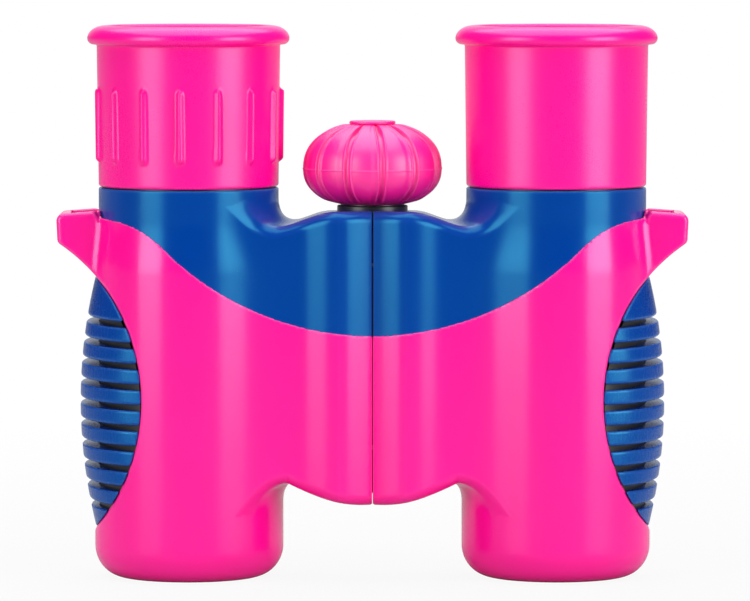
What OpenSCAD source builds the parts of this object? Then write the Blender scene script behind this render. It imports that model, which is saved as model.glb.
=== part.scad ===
// Toy binoculars with a folding bridge, a centre focusing knob and one turning dioptre ring.
// They stand on the objective rims: z is up along the barrels, y points away from the viewer.
// The fold axis is the z axis. Every half is drawn with its barrel axis at x = 0 and the
// fold axis at x = axis_half, and is then put on its side.

/* [Overall] */
// Half the distance between the barrel axes with the bridge open
axis_half = 32.3; // [31.8:0.1:33.4]
// Angle that the bridge folds through
fold_angle = 80; // [60:1:82]
// Focusing stroke to each side of the middle
focus_travel = 1.5; // [1:0.1:1.6]
// Turn of the dioptre ring to each side of the middle
dioptre_angle = 50; // [30:1:54]
// Stroke of the dioptre eyepiece to each side of the middle
dioptre_travel = 1; // [0.6:0.1:1.1]
// Radial clearance of turning and sliding fits
run_fit = 0.05; // [0.03:0.01:0.08]
// Radial clearance between pieces that are fixed together
seat_fit = 0.03; // [0.01:0.01:0.04]
// Free space between parts that pass each other
free_gap = 0.3; // [0.25:0.01:0.4]

/* [Barrel skin] */
// Wall of the armoured barrel outside the chassis
skin_wall = 2.1; // [1.9:0.05:2.3]
// Wall of the blue collar under the eyepiece
collar_wall = 1.5; // [1.4:0.05:1.7]
// Height of the top of the collar
collar_top = 68.3; // [67.8:0.1:69.4]
// Height where the collar becomes straight
collar_low = 63; // [61:0.1:64]
// Height where the barrel begins to narrow
shoulder_z = 54; // [53:0.1:57]
// Width of the flat rim that the barrel stands on
rim_w = 1.05; // [0.9:0.05:1.5]
// Height of the rounding above the rim
foot_h = 7; // [6:0.1:7.6]
// Fullness of that rounding
foot_power = 1.7; // [1.6:0.05:2]
// Height that the armour stands proud of the blue shell
edge_step = 0.2; // [0.1:0.02:0.3]
// Wall of the chassis tube
chassis_wall = 1.5; // [1.4:0.02:1.6]
// Clearance of the rim opening round the hood ring
rim_gap = 0.05; // [0.02:0.01:0.15]
// Thickness of the rim under the hood ring
foot_floor = 1; // [0.8:0.05:1.2]
// Height where the chassis tube starts
tube_low = 5.6; // [5.2:0.1:6]

/* [Colour line] */
// Height of the colour line at the fold seam
line_seam_z = 42.4; // [40:0.1:44]
// Radius of the long lower sweep of the line
line_low_r = 51; // [49.5:0.1:53]
// Steepest slope of the line
line_slope = 45.8; // [44.5:0.1:46]
// Radius of the upper sweep of the line
line_top_r = 17; // [16:0.1:17.6]

/* [Bridge] */
// Depth of the valley inside the barrel radius
valley_in = 0.4; // [0:0.1:0.8]
// Half thickness of the bridge in the valley
valley_h = 11.2; // [10.6:0.1:11.8]
// Distance of the crest from the barrel axis
crest_at = 26; // [25:0.1:27]
// Half thickness of the bridge at the crest
crest_h = 13.75; // [13.2:0.05:14.2]
// Half thickness of the bridge at the seam
seam_h = 11.9; // [11.4:0.1:12.6]
// Radius of the curve from the valley to the barrel
root_r = 8.9; // [8:0.1:9.4]
// Rounding of the bridge edges
web_round = 2.4; // [1.8:0.1:2.8]
// Height of the top of the bridge
web_top = 64.2; // [63.8:0.05:64.6]
// Depth of the dip in the front and back top edges
web_dip = 3; // [2.4:0.1:3.3]
// Height of the bottom of the bridge at the seam
web_low = 12.7; // [12:0.1:13.2]
// Height of the bottom of the bridge in the valley
arch_top = 16.5; // [15.8:0.1:17]
// Width of the seam between the halves
seam_gap = 0.3; // [0.26:0.01:0.36]
// Half thickness of the hollow in the bridge
neck_h = 7.8; // [7:0.1:8.2]
// Height of the floor of that hollow
neck_low = 18.6; // [18.2:0.1:19]
// Height of the ceiling of that hollow
neck_top = 60.2; // [59.6:0.1:60.6]
// Thickness of the roof over the hinge
roof = 2; // [1.8:0.05:2.2]

/* [Hinge] */
// Radius of the hinge knuckles
drum_r = 8.8; // [8.6:0.05:8.9]
// Height of the bottom of the hinge
hinge_low = 15.6; // [15.5:0.05:15.8]
// Length of the bottom knuckle
low_knuckle_h = 7.4; // [7:0.1:8]
// Length of the top knuckle
top_knuckle_h = 6.2; // [5.8:0.1:6.4]
// Thickness of the friction washers
washer_t = 0.5; // [0.4:0.05:0.6]
// Radius of the hinge pin
pin_r = 2.5; // [2.3:0.05:2.8]
// Length of the hinge pin
pin_len = 14; // [13:0.1:15]
// Outer radius of the hollow pivot bush
bush_r = 5; // [4.8:0.05:5.2]
// Inside radius of the hollow of the middle knuckle
drum_bore_r = 7.2; // [7:0.05:7.3]
// Height of the floor of that hollow
drum_floor = 30.4; // [30:0.1:31]
// Height of the ceiling of that hollow
drum_ceiling = 51.2; // [50.8:0.1:51.6]
// Half thickness of the arms that carry the knuckles
knuckle_arm_h = 5.5; // [5:0.1:6]
// Radius of the hinge screw head
hinge_screw_r = 4.2; // [3.8:0.1:4.6]
// Thickness of the hinge screw head
hinge_screw_h = 0.6; // [0.5:0.05:0.8]
// Radius of the hinge screw shank
hinge_shank_r = 1.2; // [1:0.05:1.4]
// Radius of the black collar under the knob
bearing_r = 6.2; // [6:0.05:6.3]
// Height of the top of that collar
bearing_top = 65.2; // [65:0.05:65.4]

/* [Focusing] */
// Radius of the focusing shaft
shaft_r = 3; // [2.8:0.05:3.2]
// Height of the lower end of the shaft
shaft_low = 33.4; // [32.6:0.1:34]
// Height of the lower face of the focusing nut
nut_low = 37; // [36.8:0.1:37.4]
// Radius of the nut sleeve
nut_r = 4.6; // [4.4:0.05:4.8]
// Radius of the nut flanges
nut_flange_r = 6.4; // [6.2:0.05:6.5]
// Thickness of the nut flanges
nut_flange_t = 1.2; // [1:0.05:1.3]
// Outer radius of the rings of the focusing arms
arm_ring_r = 6.6; // [6.4:0.05:6.7]
// Thickness of the focusing arms
arm_t = 1.8; // [1.6:0.05:1.9]
// Half width of the focusing arms
arm_half = 2.6; // [2.2:0.1:2.8]
// Outer radius of the clip on the shaft
clip_r = 4.7; // [4.4:0.05:4.8]
// Thickness of the clip
clip_t = 0.6; // [0.5:0.05:0.7]
// Radius of the clip groove in the shaft
clip_groove_r = 2.4; // [2.2:0.05:2.5]

/* [Knob] */
// Greatest radius of the knob
knob_r = 12.1; // [11.6:0.05:12.4]
// Height of the parting line of the knob
knob_mid = 71.9; // [71.4:0.1:72.6]
// Height of the knob above the parting line
knob_up = 8; // [7.6:0.1:8.4]
// Height of the full curve below the parting line
knob_down = 7; // [6.8:0.1:7.4]
// Height of the flat underside of the knob
knob_low = 65.5; // [65.45:0.05:65.8]
// Fullness of the knob curve
knob_power = 2.3; // [2.1:0.05:2.5]
// Number of flutes round the knob
flute_n = 12; // [8:1:16]
// Width of a flute
flute_w = 1; // [0.8:0.05:1.3]
// Depth of a flute
flute_d = 0.8; // [0.5:0.05:1]
// Turn of the first flute from the right hand side
flute_turn = 8.5; // [0:0.5:30]
// Radius of the knob hub
hub_r = 5.6; // [5.4:0.05:5.8]
// Height of the top of the knob hub
hub_top = 76; // [75.6:0.1:76.4]
// Radius of the cap on the knob
cap_r = 4.05; // [3.9:0.05:4.3]
// Thickness of the cap above the knob
cap_h = 0.5; // [0.4:0.05:0.7]
// Width of the slots in the screws
slot_cut = 0.8; // [0.6:0.05:0.9]
// Length of the screw shanks
screw_len = 8; // [7:0.1:8.4]
// Radius of the shank of the knob screw
knob_shank_r = 1.15; // [1:0.05:1.3]
// Thickness of the head of the knob screw
knob_head_h = 1.5; // [1.3:0.05:1.7]
// Radius of the screw head under the cap
knob_screw_r = 3; // [2.8:0.05:3.2]

/* [Strap lug] */
// Reach of the lug past the barrel
lug_out = 6.7; // [6.4:0.1:7.6]
// Height of the top of the lug
lug_top = 64.9; // [64.2:0.1:65.4]
// Half thickness of the lug
lug_half = 6.3; // [6:0.1:7]
// Rounding of the outer corner of the lug
lug_round = 1.3; // [1:0.1:1.6]
// Thickness of the outer wall of the lug
lug_wall = 2.4; // [2.2:0.1:2.6]
// Width of the strap slot
slot_w = 4.6; // [4.4:0.1:4.8]
// Half length of the strap slot
slot_half = 4.5; // [4.3:0.1:4.7]

/* [Grip] */
// Radius of the front outline of the grip
grip_arc_r = 33.5; // [32.5:0.1:34.5]
// Height of the middle of the grip
grip_z = 30.9; // [30.4:0.1:31.4]
// Distance of the grip edge from the barrel axis at mid height
grip_edge = 7.9; // [7.4:0.1:8.6]
// Bulge of the grip past the barrel
grip_bulge = 2.7; // [2.2:0.1:3]
// Half length of the bulge
grip_half = 22; // [21.4:0.1:22.6]
// Depth of the black saddle under the barrel surface
saddle_depth = 0.7; // [0.6:0.05:0.9]
// Number of grooves in the grip
groove_n = 10; // [6:1:11]
// Distance from groove to groove
groove_pitch = 3.59; // [3.2:0.05:3.7]
// Width of a groove
groove_w = 1.15; // [0.9:0.05:1.4]
// Height of the first groove at the side
groove_first = 45.7; // [45:0.1:46.2]
// Tilt of the grooves towards the front
groove_tilt = 6.3; // [4:0.1:7]
// Reach of the grooves behind the barrel axis
groove_back = 9; // [7:0.1:10]

/* [Objective] */
// Step from the eyepiece tube out to the bore of the chassis
tube_step = 0.6; // [0.55:0.01:0.7]
// Wall of the hood ring
hood_wall = 1.8; // [1.7:0.05:1.9]
// Height of the top of the hood ring
hood_top = 7; // [6.8:0.05:7.2]
// Height of the lower end of the objective carriage
carriage_low = 9.1; // [9:0.05:9.3]
// Height of the upper end of the objective carriage
carriage_top = 46; // [45.6:0.05:46.1]
// Wall of the objective carriage
carriage_wall = 1.4; // [1.3:0.05:1.5]
// Width of the seat of the objective lens
objective_seat_w = 0.9; // [0.8:0.05:1.1]
// Height of the lens seat above the carriage end
objective_seat = 5.6; // [5.2:0.1:6]
// Thickness of the objective lens at its edge
objective_edge = 2.6; // [2.4:0.1:2.8]
// Radius of curvature of the objective
objective_curve = 46; // [42:1:60]
// Thickness of the objective retaining ring
objective_ring_t = 1.4; // [1.2:0.1:1.6]

/* [Prisms] */
// Height of the lower face of the prism ledge
ledge_low = 47.9; // [47.85:0.05:48.1]
// Width of the ledge
ledge_w = 1.8; // [1.4:0.1:2.2]
// Thickness of the ledge
ledge_t = 0.8; // [0.7:0.05:0.9]
// Length of the prism cage
cage_len = 14.7; // [14.5:0.05:14.9]
// Width of the prisms across the barrel
prism_w = 15; // [14.6:0.1:15.2]
// Thickness of the prisms from front to back
prism_t = 13; // [12.6:0.1:13.2]
// Slope of the air gap between the prisms
prism_slope = 24; // [20:1:28]
// Width of the air gap between the prisms
prism_gap = 0.2; // [0.1:0.05:0.4]
// Thickness of the floor of the cage
cage_floor = 1.3; // [1.2:0.05:1.5]
// Clear radius of the cage floor
cage_clear_r = 6; // [5.6:0.1:6.4]
// Thickness of the field stop
stop_t = 0.9; // [0.8:0.05:1]
// Clear radius of the field stop
stop_clear_r = 7; // [6.4:0.1:8]

/* [Eyepiece] */
// Outer radius of the eyepiece tube
eye_tube_r = 12.2; // [12.1:0.05:12.3]
// Wall of the eyepiece tube
eye_wall = 1.4; // [1.35:0.01:1.45]
// Depth of the open cup above the eyepiece tube
cup_depth = 8.4; // [8.2:0.1:8.8]
// Reach of the black flange past the ring that carries the eyecup
flange_step = 0.8; // [0.4:0.1:1]
// Thickness of that flange
flange_t = 0.5; // [0.4:0.05:0.6]
// Wall of the ring that carries the eyecup
cup_ring_wall = 2; // [1.9:0.05:2.1]
// Thickness of the keeper on the eyepiece tube
keeper_t = 1.1; // [0.9:0.05:1.2]
// Reach of the keeper past the eyepiece tube
keeper_step = 1; // [0.8:0.05:1.05]
// Reach of the ocular cell below the top of the collar
cell_drop = 1.5; // [1.1:0.1:1.7]
// Depth of the ocular cell below the top of its tube
cell_inset = 0.6; // [0.4:0.1:1]
// Wall of the ocular cell
cell_wall = 1.4; // [1.3:0.05:1.5]
// Width of the seats of the ocular lenses
ocular_seat_w = 1.2; // [1:0.05:1.4]
// Radius of curvature of the eye lens
eye_curve = 24; // [21:0.5:30]
// Thickness of the ocular lenses at their edge
ocular_edge = 1.6; // [1.4:0.05:1.8]
// Radius of the pin that drives the dioptre cell
cam_pin_r = 0.9; // [0.8:0.05:1]
// Height of that pin above the collar
cam_up = 8.7; // [7.7:0.1:9.7]

/* [Eyecups] */
// Growth of the sleeve from its lower end to the lip
sleeve_flare = 0.3; // [0.1:0.05:0.5]
// Wall of the sleeve at its lower end
sleeve_wall = 1.6; // [1.4:0.05:1.8]
// Clearance of the open cup round the keeper
cup_gap = 0.4; // [0.4:0.05:0.6]
// Length of the eyecups
cup_len = 27.9; // [26.4:0.1:28.9]
// Height of the lip
lip_h = 3.8; // [3.4:0.1:4.2]
// Reach of the lip past the sleeve
lip_roll = 1.7; // [1.3:0.05:2.1]
// Number of ribs on the dioptre cup
rib_n = 15; // [10:1:18]
// Radius of a rib
rib_r = 0.7; // [0.5:0.05:0.8]
// Height that a rib stands proud of the sleeve
rib_proud = 0.85; // [0.6:0.05:1]
// Height of the ribs above the lower end of the cup
rib_up = 3.3; // [2.7:0.1:3.9]
// Length of the ribs
rib_len = 12.9; // [11:0.1:13.4]
// Turn of the first rib from the front
rib_turn = -5.5; // [-12:0.5:12]

/* [Hidden] */
pink = "#ff209b";
blue = "#0e429e";
black = "#1c1c1f";
glass = "#b9d3e6";
steel = "#b5b7ba";
brass = "#c9a650";
tube_bore_r = eye_tube_r + tube_step;
skin_bore_r = tube_bore_r + chassis_wall;
barrel_r = skin_bore_r + skin_wall;
collar_r = skin_bore_r + collar_wall;
saddle_r = barrel_r - saddle_depth;
lug_reach = barrel_r + lug_out;
valley_at = barrel_r - valley_in;
hood_bore_r = tube_bore_r - hood_wall;
foot_bore_r = hood_bore_r + rim_gap;
foot_r = foot_bore_r + rim_w;
carriage_bore_r = tube_bore_r - carriage_wall;
objective_clear_r = carriage_bore_r - objective_seat_w;
ledge_bore_r = tube_bore_r - ledge_w;
eye_bore_r = eye_tube_r - eye_wall;
cell_bore_r = eye_bore_r - cell_wall;
ocular_clear_r = cell_bore_r - ocular_seat_w;
keeper_r = eye_tube_r + keeper_step;
cup_bore_r = keeper_r + cup_gap;
cup_ring_r = eye_tube_r + cup_ring_wall;
flange_r = cup_ring_r + flange_step;
sleeve_low_r = cup_ring_r + sleeve_wall;
sleeve_top_r = sleeve_low_r + sleeve_flare;
lip_r = sleeve_top_r + lip_roll;
tube_r = skin_bore_r - seat_fit;
inner_r = tube_bore_r - run_fit;
fixed_r = tube_bore_r - seat_fit;
hinge_bore_r = drum_r + free_gap;
wedge = fold_angle / 2 + 0.5;
roof_low = web_top - roof;
top_knuckle_top = roof_low - free_gap;
top_knuckle_low = top_knuckle_top - top_knuckle_h;
low_knuckle_top = hinge_low + low_knuckle_h;
drum_low = low_knuckle_top + washer_t + free_gap;
drum_top = top_knuckle_low - washer_t - free_gap;
left_arm_low = nut_low + nut_flange_t;
right_arm_low = left_arm_low + arm_t + free_gap;
keeper_ring_low = right_arm_low + arm_t + free_gap;
nut_top = keeper_ring_low + nut_flange_t;
arm_slot_low = left_arm_low - focus_travel - free_gap;
arm_slot_top = right_arm_low + arm_t + focus_travel + free_gap;
bush_low = drum_ceiling - 0.4;
clip_low = bush_low - free_gap - clip_t;
ledge_top = ledge_low + ledge_t;
cage_top = ledge_top + cage_len;
stop_top = cage_top + stop_t;
flange_top = collar_top + flange_t;
cup_low = flange_top + free_gap;
cup_top = cup_low + cup_len;
rib_low = cup_low + rib_up;
eye_tube_top = cup_top - cup_depth;
cell_top = eye_tube_top - cell_inset;
cell_low = collar_top - cell_drop;
cam_z = collar_top + cam_up;
cup_ring_top = eye_tube_top - free_gap;
keeper_low = eye_tube_top;
keeper_bore_r = eye_bore_r + free_gap;
objective_seat_z = carriage_low + objective_seat;
knob_cap_z = knob_mid + knob_up * 0.985;
// Part to show

// Puts a half drawn about its own barrel axis on the left or on the right
module on_left() translate([-axis_half, 0, 0]) children();
module on_right() mirror([1, 0, 0]) translate([-axis_half, 0, 0]) children();

// Lifts a shape to a height
module up(z) translate([0, 0, z]) children();

// Straight-sided ring about the z axis
module ring(outer, inner, low, top) {
    difference() {
        up(low) cylinder(r = outer, h = top - low, $fn = 96);
        up(low - 1) cylinder(r = inner, h = top - low + 2, $fn = 96);
    }
}

// Outline in x and z carried from front to back
module through_y(depth) rotate([90, 0, 0]) linear_extrude(height = depth, center = true) children();

// Colour line from the seam out past the barrel
line_turn_x = axis_half - line_low_r * sin(line_slope);
line_turn_z = line_seam_z + line_low_r * (1 - cos(line_slope));
function line_low(a) = [axis_half - line_low_r * sin(a), line_seam_z + line_low_r * (1 - cos(a))];
function line_high(a) = [
    line_turn_x - line_top_r * (sin(line_slope) - sin(a)),
    line_turn_z + line_top_r * (cos(a) - cos(line_slope))
];
line_end = line_high(4);
line_points = concat(
    [[axis_half + 20, line_seam_z]],
    [for (i = [0:8]) line_low(line_slope * i / 8)],
    [for (i = [1:5]) line_high(line_slope + (4 - line_slope) * i / 5)],
    [[-40, line_end[1] + 0.5]]
);

// Space above the colour line
module above_line() {
    through_y(90) polygon(concat(line_points, [[-40, 120], [axis_half + 20, 120]]));
}

// Space below the colour line
module below_line() {
    through_y(90) polygon(concat(line_points, [[-40, -20], [axis_half + 20, -20]]));
}

// Barrel with its rounded foot and its collar
module barrel(grow) {
    wide = barrel_r + grow;
    foot = [for (t = [0:15:90]) [
        foot_r + (wide - foot_r) * pow(sin(t), 2 / foot_power),
        foot_h * (1 - pow(cos(t), 2 / foot_power))
    ]];
    rotate_extrude($fn = 64) {
        polygon(concat([[0, 0]], foot, [
            [wide, shoulder_z], [collar_r + grow, collar_low],
            [collar_r + grow, collar_top], [0, collar_top]
        ]));
    }
}

// Share of the rise from the valley to the crest
function web_rise(u) = (1 - cos(180 * (u - valley_at) / (crest_at - valley_at))) / 2;
// Half thickness of the bridge at a distance from the barrel axis
function web_h(u) =
    u < valley_at ? valley_h + pow(valley_at - u, 2) / (2 * root_r) :
    u < crest_at ? valley_h + (crest_h - valley_h) * web_rise(u) :
    crest_h - (crest_h - seam_h) * pow((u - crest_at) / (axis_half - crest_at), 2.4);
// Height of the front and back top edges
dip_at = valley_at - 2;
function web_edge(u) =
    u < dip_at ? web_top - web_dip + 0.06 * pow(dip_at - u, 2) :
    u < crest_at ? web_top - web_dip * (1 + cos(180 * (u - dip_at) / (crest_at - dip_at))) / 2 : web_top;
// Height of the bottom
function web_base(u) =
    u < valley_at ? arch_top - 0.06 * pow(valley_at - u, 2) :
    web_low + (arch_top - web_low) * pow((axis_half - u) / (axis_half - valley_at), 2);

// Stretch of a skin between two rings of points
function band_faces(n) = concat(
    [[for (i = [0:n - 1]) n - 1 - i], [for (i = [0:n - 1]) n + i]],
    [for (i = [0:n - 1]) [i, (i + 1) % n, n + (i + 1) % n, n + i]]
);
module band(one, two) hull() polyhedron(points = concat(one, two), faces = band_faces(len(one)));

// Cross section of the bridge
function web_corner(u, half, z, start) =
    [for (i = [0:4]) [u, half + web_round * cos(start + i * 22.5), z + web_round * sin(start + i * 22.5)]];
function flip_y(points) = [for (p = points) [p[0], -p[1], p[2]]];
function turn_round(points) = [for (i = [len(points) - 1:-1:0]) points[i]];
function web_ring(u, grow) =
    let (
        half = web_h(u) + grow - web_round,
        low = web_corner(u, half, web_base(u) + web_round - grow, -90),
        high = web_corner(u, half, web_edge(u) - web_round, 0),
        crown = [for (t = [0.66, 0.33]) [u, half * t, web_top - (web_top - web_edge(u)) * t * t]],
        side = concat(low, high, crown)
    )
    concat(side, [[u, 0, web_top]], flip_y(turn_round(side)));

// Bridge from inside the barrel to the seam
web_in = valley_at - 6.4;
web_steps = concat(
    [for (i = [0:3]) web_in + (valley_at - web_in) * i / 4],
    [for (i = [0:4]) valley_at + (crest_at - valley_at) * i / 5],
    [for (t = [0, 0.32, 0.6, 0.82, 1]) crest_at + (axis_half - crest_at) * t]
);
module web(grow) {
    for (i = [0:len(web_steps) - 2]) band(web_ring(web_steps[i], grow), web_ring(web_steps[i + 1], grow));
}

// Hollows that both skins share
module skin_hollows() {
    up(tube_low) cylinder(r = skin_bore_r, h = 90, $fn = 64);
    translate([axis_half, 0, -5]) cylinder(r = hinge_bore_r, h = roof_low + 5, $fn = 64);
    translate([axis_half, 0, 20]) cylinder(r = bearing_r + free_gap, h = 60, $fn = 48);
    translate([skin_bore_r - 2, -neck_h, neck_low]) {
        cube([axis_half - skin_bore_r, 2 * neck_h, neck_top - neck_low]);
    }
    up(-5) linear_extrude(height = 90) {
        polygon([
            [axis_half - seam_gap / 2, -50], [axis_half - seam_gap / 2, 0],
            [axis_half - seam_gap / 2 - 50 * tan(wedge), 50], [axis_half + 60, 50], [axis_half + 60, -50]
        ]);
    }
}

// Round outline that the grip and the underside of the lug share
module grip_outline(grow) {
    through_y(90) translate([-grip_edge - grip_arc_r, grip_z]) circle(r = grip_arc_r + grow, $fn = 120);
}

// Outer form of the grip
function grip_ring(t) =
    let (
        rise = grip_bulge * (1 - t * t),
        shift = rise * 1.55,
        radius = barrel_r + rise - shift
    )
    [for (a = [0:6:354]) [radius * cos(a) - shift, radius * sin(a), grip_z + t * grip_half]];
module grip_form() for (i = [-5:4]) band(grip_ring(i / 5), grip_ring((i + 1) / 5));

// Shapes of the skins
module upper_shell_shape() {
    color(blue) difference() {
        union() {
            barrel(0);
            web(0);
        }
        below_line();
        skin_hollows();
    }
}

module lug() {
    difference() {
        hull() {
            translate([-lug_reach + lug_round, 0, lug_top - lug_round]) rotate([90, 0, 0]) {
                cylinder(r = lug_round, h = 2 * lug_half - 1, center = true, $fn = 24);
                cylinder(r = lug_round - 0.5, h = 2 * lug_half, center = true, $fn = 24);
            }
            translate([-lug_reach, -lug_half + 0.5, grip_z]) cube([1, 2 * lug_half - 1, 1]);
            translate([-10, -lug_half, grip_z]) cube([1, 2 * lug_half, lug_top - grip_z - 0.2]);
            translate([-10, -lug_half + 1, grip_z]) cube([1, 2 * lug_half - 2, lug_top - grip_z]);
        }
        up(line_high(24)[1]) cylinder(r = collar_r + 0.1, h = 30, $fn = 64);
        cylinder(r = skin_bore_r + 0.5, h = 100, $fn = 64);
    }
}

module armour_shape() {
    color(pink) difference() {
        union() {
            difference() {
                union() {
                    barrel(edge_step);
                    web(edge_step);
                }
                up(-0.05) above_line();
            }
            lug();
        }
        skin_hollows();
        grip_outline(0);
        up(-1) cylinder(r = foot_bore_r, h = 20, $fn = 64);
        up(foot_floor) cylinder(r = tube_bore_r, h = 20, $fn = 64);
        translate([-lug_reach + lug_wall, -slot_half, 40]) cube([slot_w, 2 * slot_half, 40]);
    }
}

module grip_shape() {
    color(blue) difference() {
        intersection() {
            grip_form();
            grip_outline(-0.08);
        }
        cylinder(r = saddle_r + seat_fit, h = 100, $fn = 64);
        for (i = [0:groove_n - 1]) {
            translate([-40, 0, groove_first - i * groove_pitch]) rotate([groove_tilt, 0, 0]) {
                translate([0, -40, -groove_w / 2]) cube([40, 40 + groove_back, groove_w]);
            }
        }
    }
}

// Chassis: tube with prism ledge, grip saddle and the arms of its hinge knuckles
module chassis_tube() {
    difference() {
        union() {
            up(tube_low + seat_fit) cylinder(r = tube_r, h = collar_top - tube_low - seat_fit, $fn = 96);
            intersection() {
                up(grip_z - grip_half) cylinder(r = saddle_r, h = 2 * grip_half, $fn = 96);
                grip_outline(-0.2);
            }
        }
        up(-1) cylinder(r = tube_bore_r, h = ledge_low + 1, $fn = 96);
        cylinder(r = ledge_bore_r, h = 100, $fn = 96);
        up(ledge_top) cylinder(r = tube_bore_r, h = 60, $fn = 96);
        translate([0, -arm_half - free_gap, arm_slot_low]) {
            cube([20, 2 * (arm_half + free_gap), arm_slot_top - arm_slot_low]);
        }
    }
}
module knuckle_arm(low, top) {
    difference() {
        translate([tube_bore_r + 0.5, -knuckle_arm_h, low]) {
            cube([axis_half - tube_bore_r - 0.5, 2 * knuckle_arm_h, top - low]);
        }
        translate([axis_half, 0, low - 1]) cylinder(r = drum_bore_r, h = top - low + 2, $fn = 96);
    }
}

module left_chassis() on_left() color(black) {
    difference() {
        union() {
            chassis_tube();
            knuckle_arm(top_knuckle_low, neck_top - 0.1);
            knuckle_arm(neck_low + 0.1, low_knuckle_top);
            translate([axis_half, 0, top_knuckle_low]) cylinder(r = drum_r, h = top_knuckle_h, $fn = 96);
            translate([axis_half, 0, hinge_low]) cylinder(r = drum_r, h = low_knuckle_h, $fn = 96);
        }
        translate([axis_half, 0, top_knuckle_low - 1]) cylinder(r = bush_r + seat_fit, h = 20, $fn = 96);
        translate([axis_half, 0, hinge_low - 1]) cylinder(r = pin_r + seat_fit, h = 20, $fn = 96);
    }
}

// Opening in the middle knuckle that lets the left focusing arm swing
swing = asin((arm_half + free_gap) / drum_bore_r);
module arm_swing() {
    low_a = 180 - fold_angle - swing - 3;
    high_a = 180 + swing + 1;
    mid_a = (low_a + high_a) / 2;
    up(arm_slot_low) linear_extrude(height = arm_slot_top - arm_slot_low) {
        polygon([
            [0, 0], [24 * cos(low_a), 24 * sin(low_a)],
            [24 * cos(mid_a), 24 * sin(mid_a)], [24 * cos(high_a), 24 * sin(high_a)]
        ]);
    }
}

module right_chassis() color(black) {
    difference() {
        union() {
            on_right() {
                chassis_tube();
                knuckle_arm(drum_low, arm_slot_low - 1);
                knuckle_arm(arm_slot_top + 1, drum_top);
            }
            up(drum_low) cylinder(r = drum_r, h = drum_top - drum_low, $fn = 96);
        }
        up(drum_floor) cylinder(r = drum_bore_r, h = drum_ceiling - drum_floor, $fn = 96);
        up(drum_low - 1) cylinder(r = pin_r + run_fit, h = 15, $fn = 96);
        up(drum_ceiling - 1) cylinder(r = bush_r + run_fit, h = 15, $fn = 96);
        arm_swing();
        translate([0, -arm_half - free_gap, arm_slot_low]) {
            cube([20, 2 * (arm_half + free_gap), arm_slot_top - arm_slot_low]);
        }
    }
}

module left_upper_shell() on_left() upper_shell_shape();
module right_upper_shell() on_right() upper_shell_shape();
module left_armour() on_left() armour_shape();
module right_armour() on_right() armour_shape();
module left_grip() on_left() grip_shape();
module right_grip() on_right() grip_shape();

// Hood ring inside the rim
module hood_ring_shape() color(black) ring(fixed_r, hood_bore_r, foot_floor + seat_fit, hood_top);
module left_hood_ring() on_left() hood_ring_shape();
module right_hood_ring() on_right() hood_ring_shape();

// Prism cage, the two prisms and the field stop
module prism_cage_shape() {
    color(black) difference() {
        up(ledge_top + seat_fit) cylinder(r = fixed_r, h = cage_len - seat_fit, $fn = 96);
        up(ledge_top + cage_floor + 10) cube([prism_w + 0.1, prism_t + 0.1, 20], center = true);
        up(ledge_top + cage_floor + 15) cube([prism_w + 0.1, prism_t + 0.1, 20], center = true);
        up(ledge_low) cylinder(r = cage_clear_r, h = 10, $fn = 72);
    }
}
prism_low = ledge_top + cage_floor + 0.04;
prism_top = cage_top - 0.04;
prism_cut = (prism_low + prism_top) / 2;
prism_rise = prism_w / 2 * tan(prism_slope);
module half_prism_shape() {
    color(glass) through_y(prism_t) polygon([
        [-prism_w / 2, prism_low], [prism_w / 2, prism_low],
        [prism_w / 2, prism_cut - prism_rise - prism_gap / 2],
        [-prism_w / 2, prism_cut + prism_rise - prism_gap / 2]
    ]);
}
module roof_prism_shape() {
    color(glass) difference() {
        through_y(prism_t) polygon([
            [-prism_w / 2, prism_top], [prism_w / 2, prism_top],
            [prism_w / 2, prism_cut - prism_rise + prism_gap / 2],
            [-prism_w / 2, prism_cut + prism_rise + prism_gap / 2]
        ]);
        for (s = [-1, 1]) {
            translate([prism_w / 2, s * prism_t / 2, prism_cut]) rotate([0, 0, 45]) {
                cube([3, 3, 30], center = true);
            }
        }
    }
}
module field_stop_shape() color(black) ring(fixed_r, stop_clear_r, cage_top, stop_top);
module left_prism_cage() on_left() prism_cage_shape();
module right_prism_cage() on_right() prism_cage_shape();
module left_half_prism() on_left() half_prism_shape();
module right_half_prism() on_right() half_prism_shape();
module left_roof_prism() on_left() roof_prism_shape();
module right_roof_prism() on_right() roof_prism_shape();
module left_field_stop() on_left() field_stop_shape();
module right_field_stop() on_right() field_stop_shape();

// Eyepiece tube with the black flange, its keeper and the ring that carries the eyecup
module eyepiece_tube_shape() {
    difference() {
        union() {
            up(stop_top) cylinder(r = fixed_r, h = collar_top - stop_top, $fn = 96);
            up(collar_top) cylinder(r = flange_r, h = flange_t, $fn = 96);
            up(collar_top) cylinder(r = eye_tube_r, h = eye_tube_top - collar_top, $fn = 96);
        }
        up(stop_top - 1) cylinder(r = eye_bore_r, h = 60, $fn = 96);
    }
}
module ring_keeper_shape() color(black) ring(keeper_r, keeper_bore_r, keeper_low, keeper_low + keeper_t);
module left_eyepiece_tube() on_left() color(black) {
    difference() {
        eyepiece_tube_shape();
        translate([-cam_pin_r - run_fit, 0, cam_z - cam_pin_r - dioptre_travel - free_gap]) {
            cube([2 * (cam_pin_r + run_fit), 20, 2 * (cam_pin_r + dioptre_travel + free_gap)]);
        }
    }
}
module right_eyepiece_tube() on_right() color(black) eyepiece_tube_shape();
module left_ring_keeper() on_left() ring_keeper_shape();
module right_ring_keeper() on_right() ring_keeper_shape();
module right_cup_ring() on_right() color(black) {
    ring(cup_ring_r, eye_tube_r + seat_fit, cup_low, cup_ring_top);
}
module dioptre_ring() on_left() color(black) {
    difference() {
        ring(cup_ring_r, eye_tube_r + run_fit, cup_low, cup_ring_top);
        cam_groove();
    }
}

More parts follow.
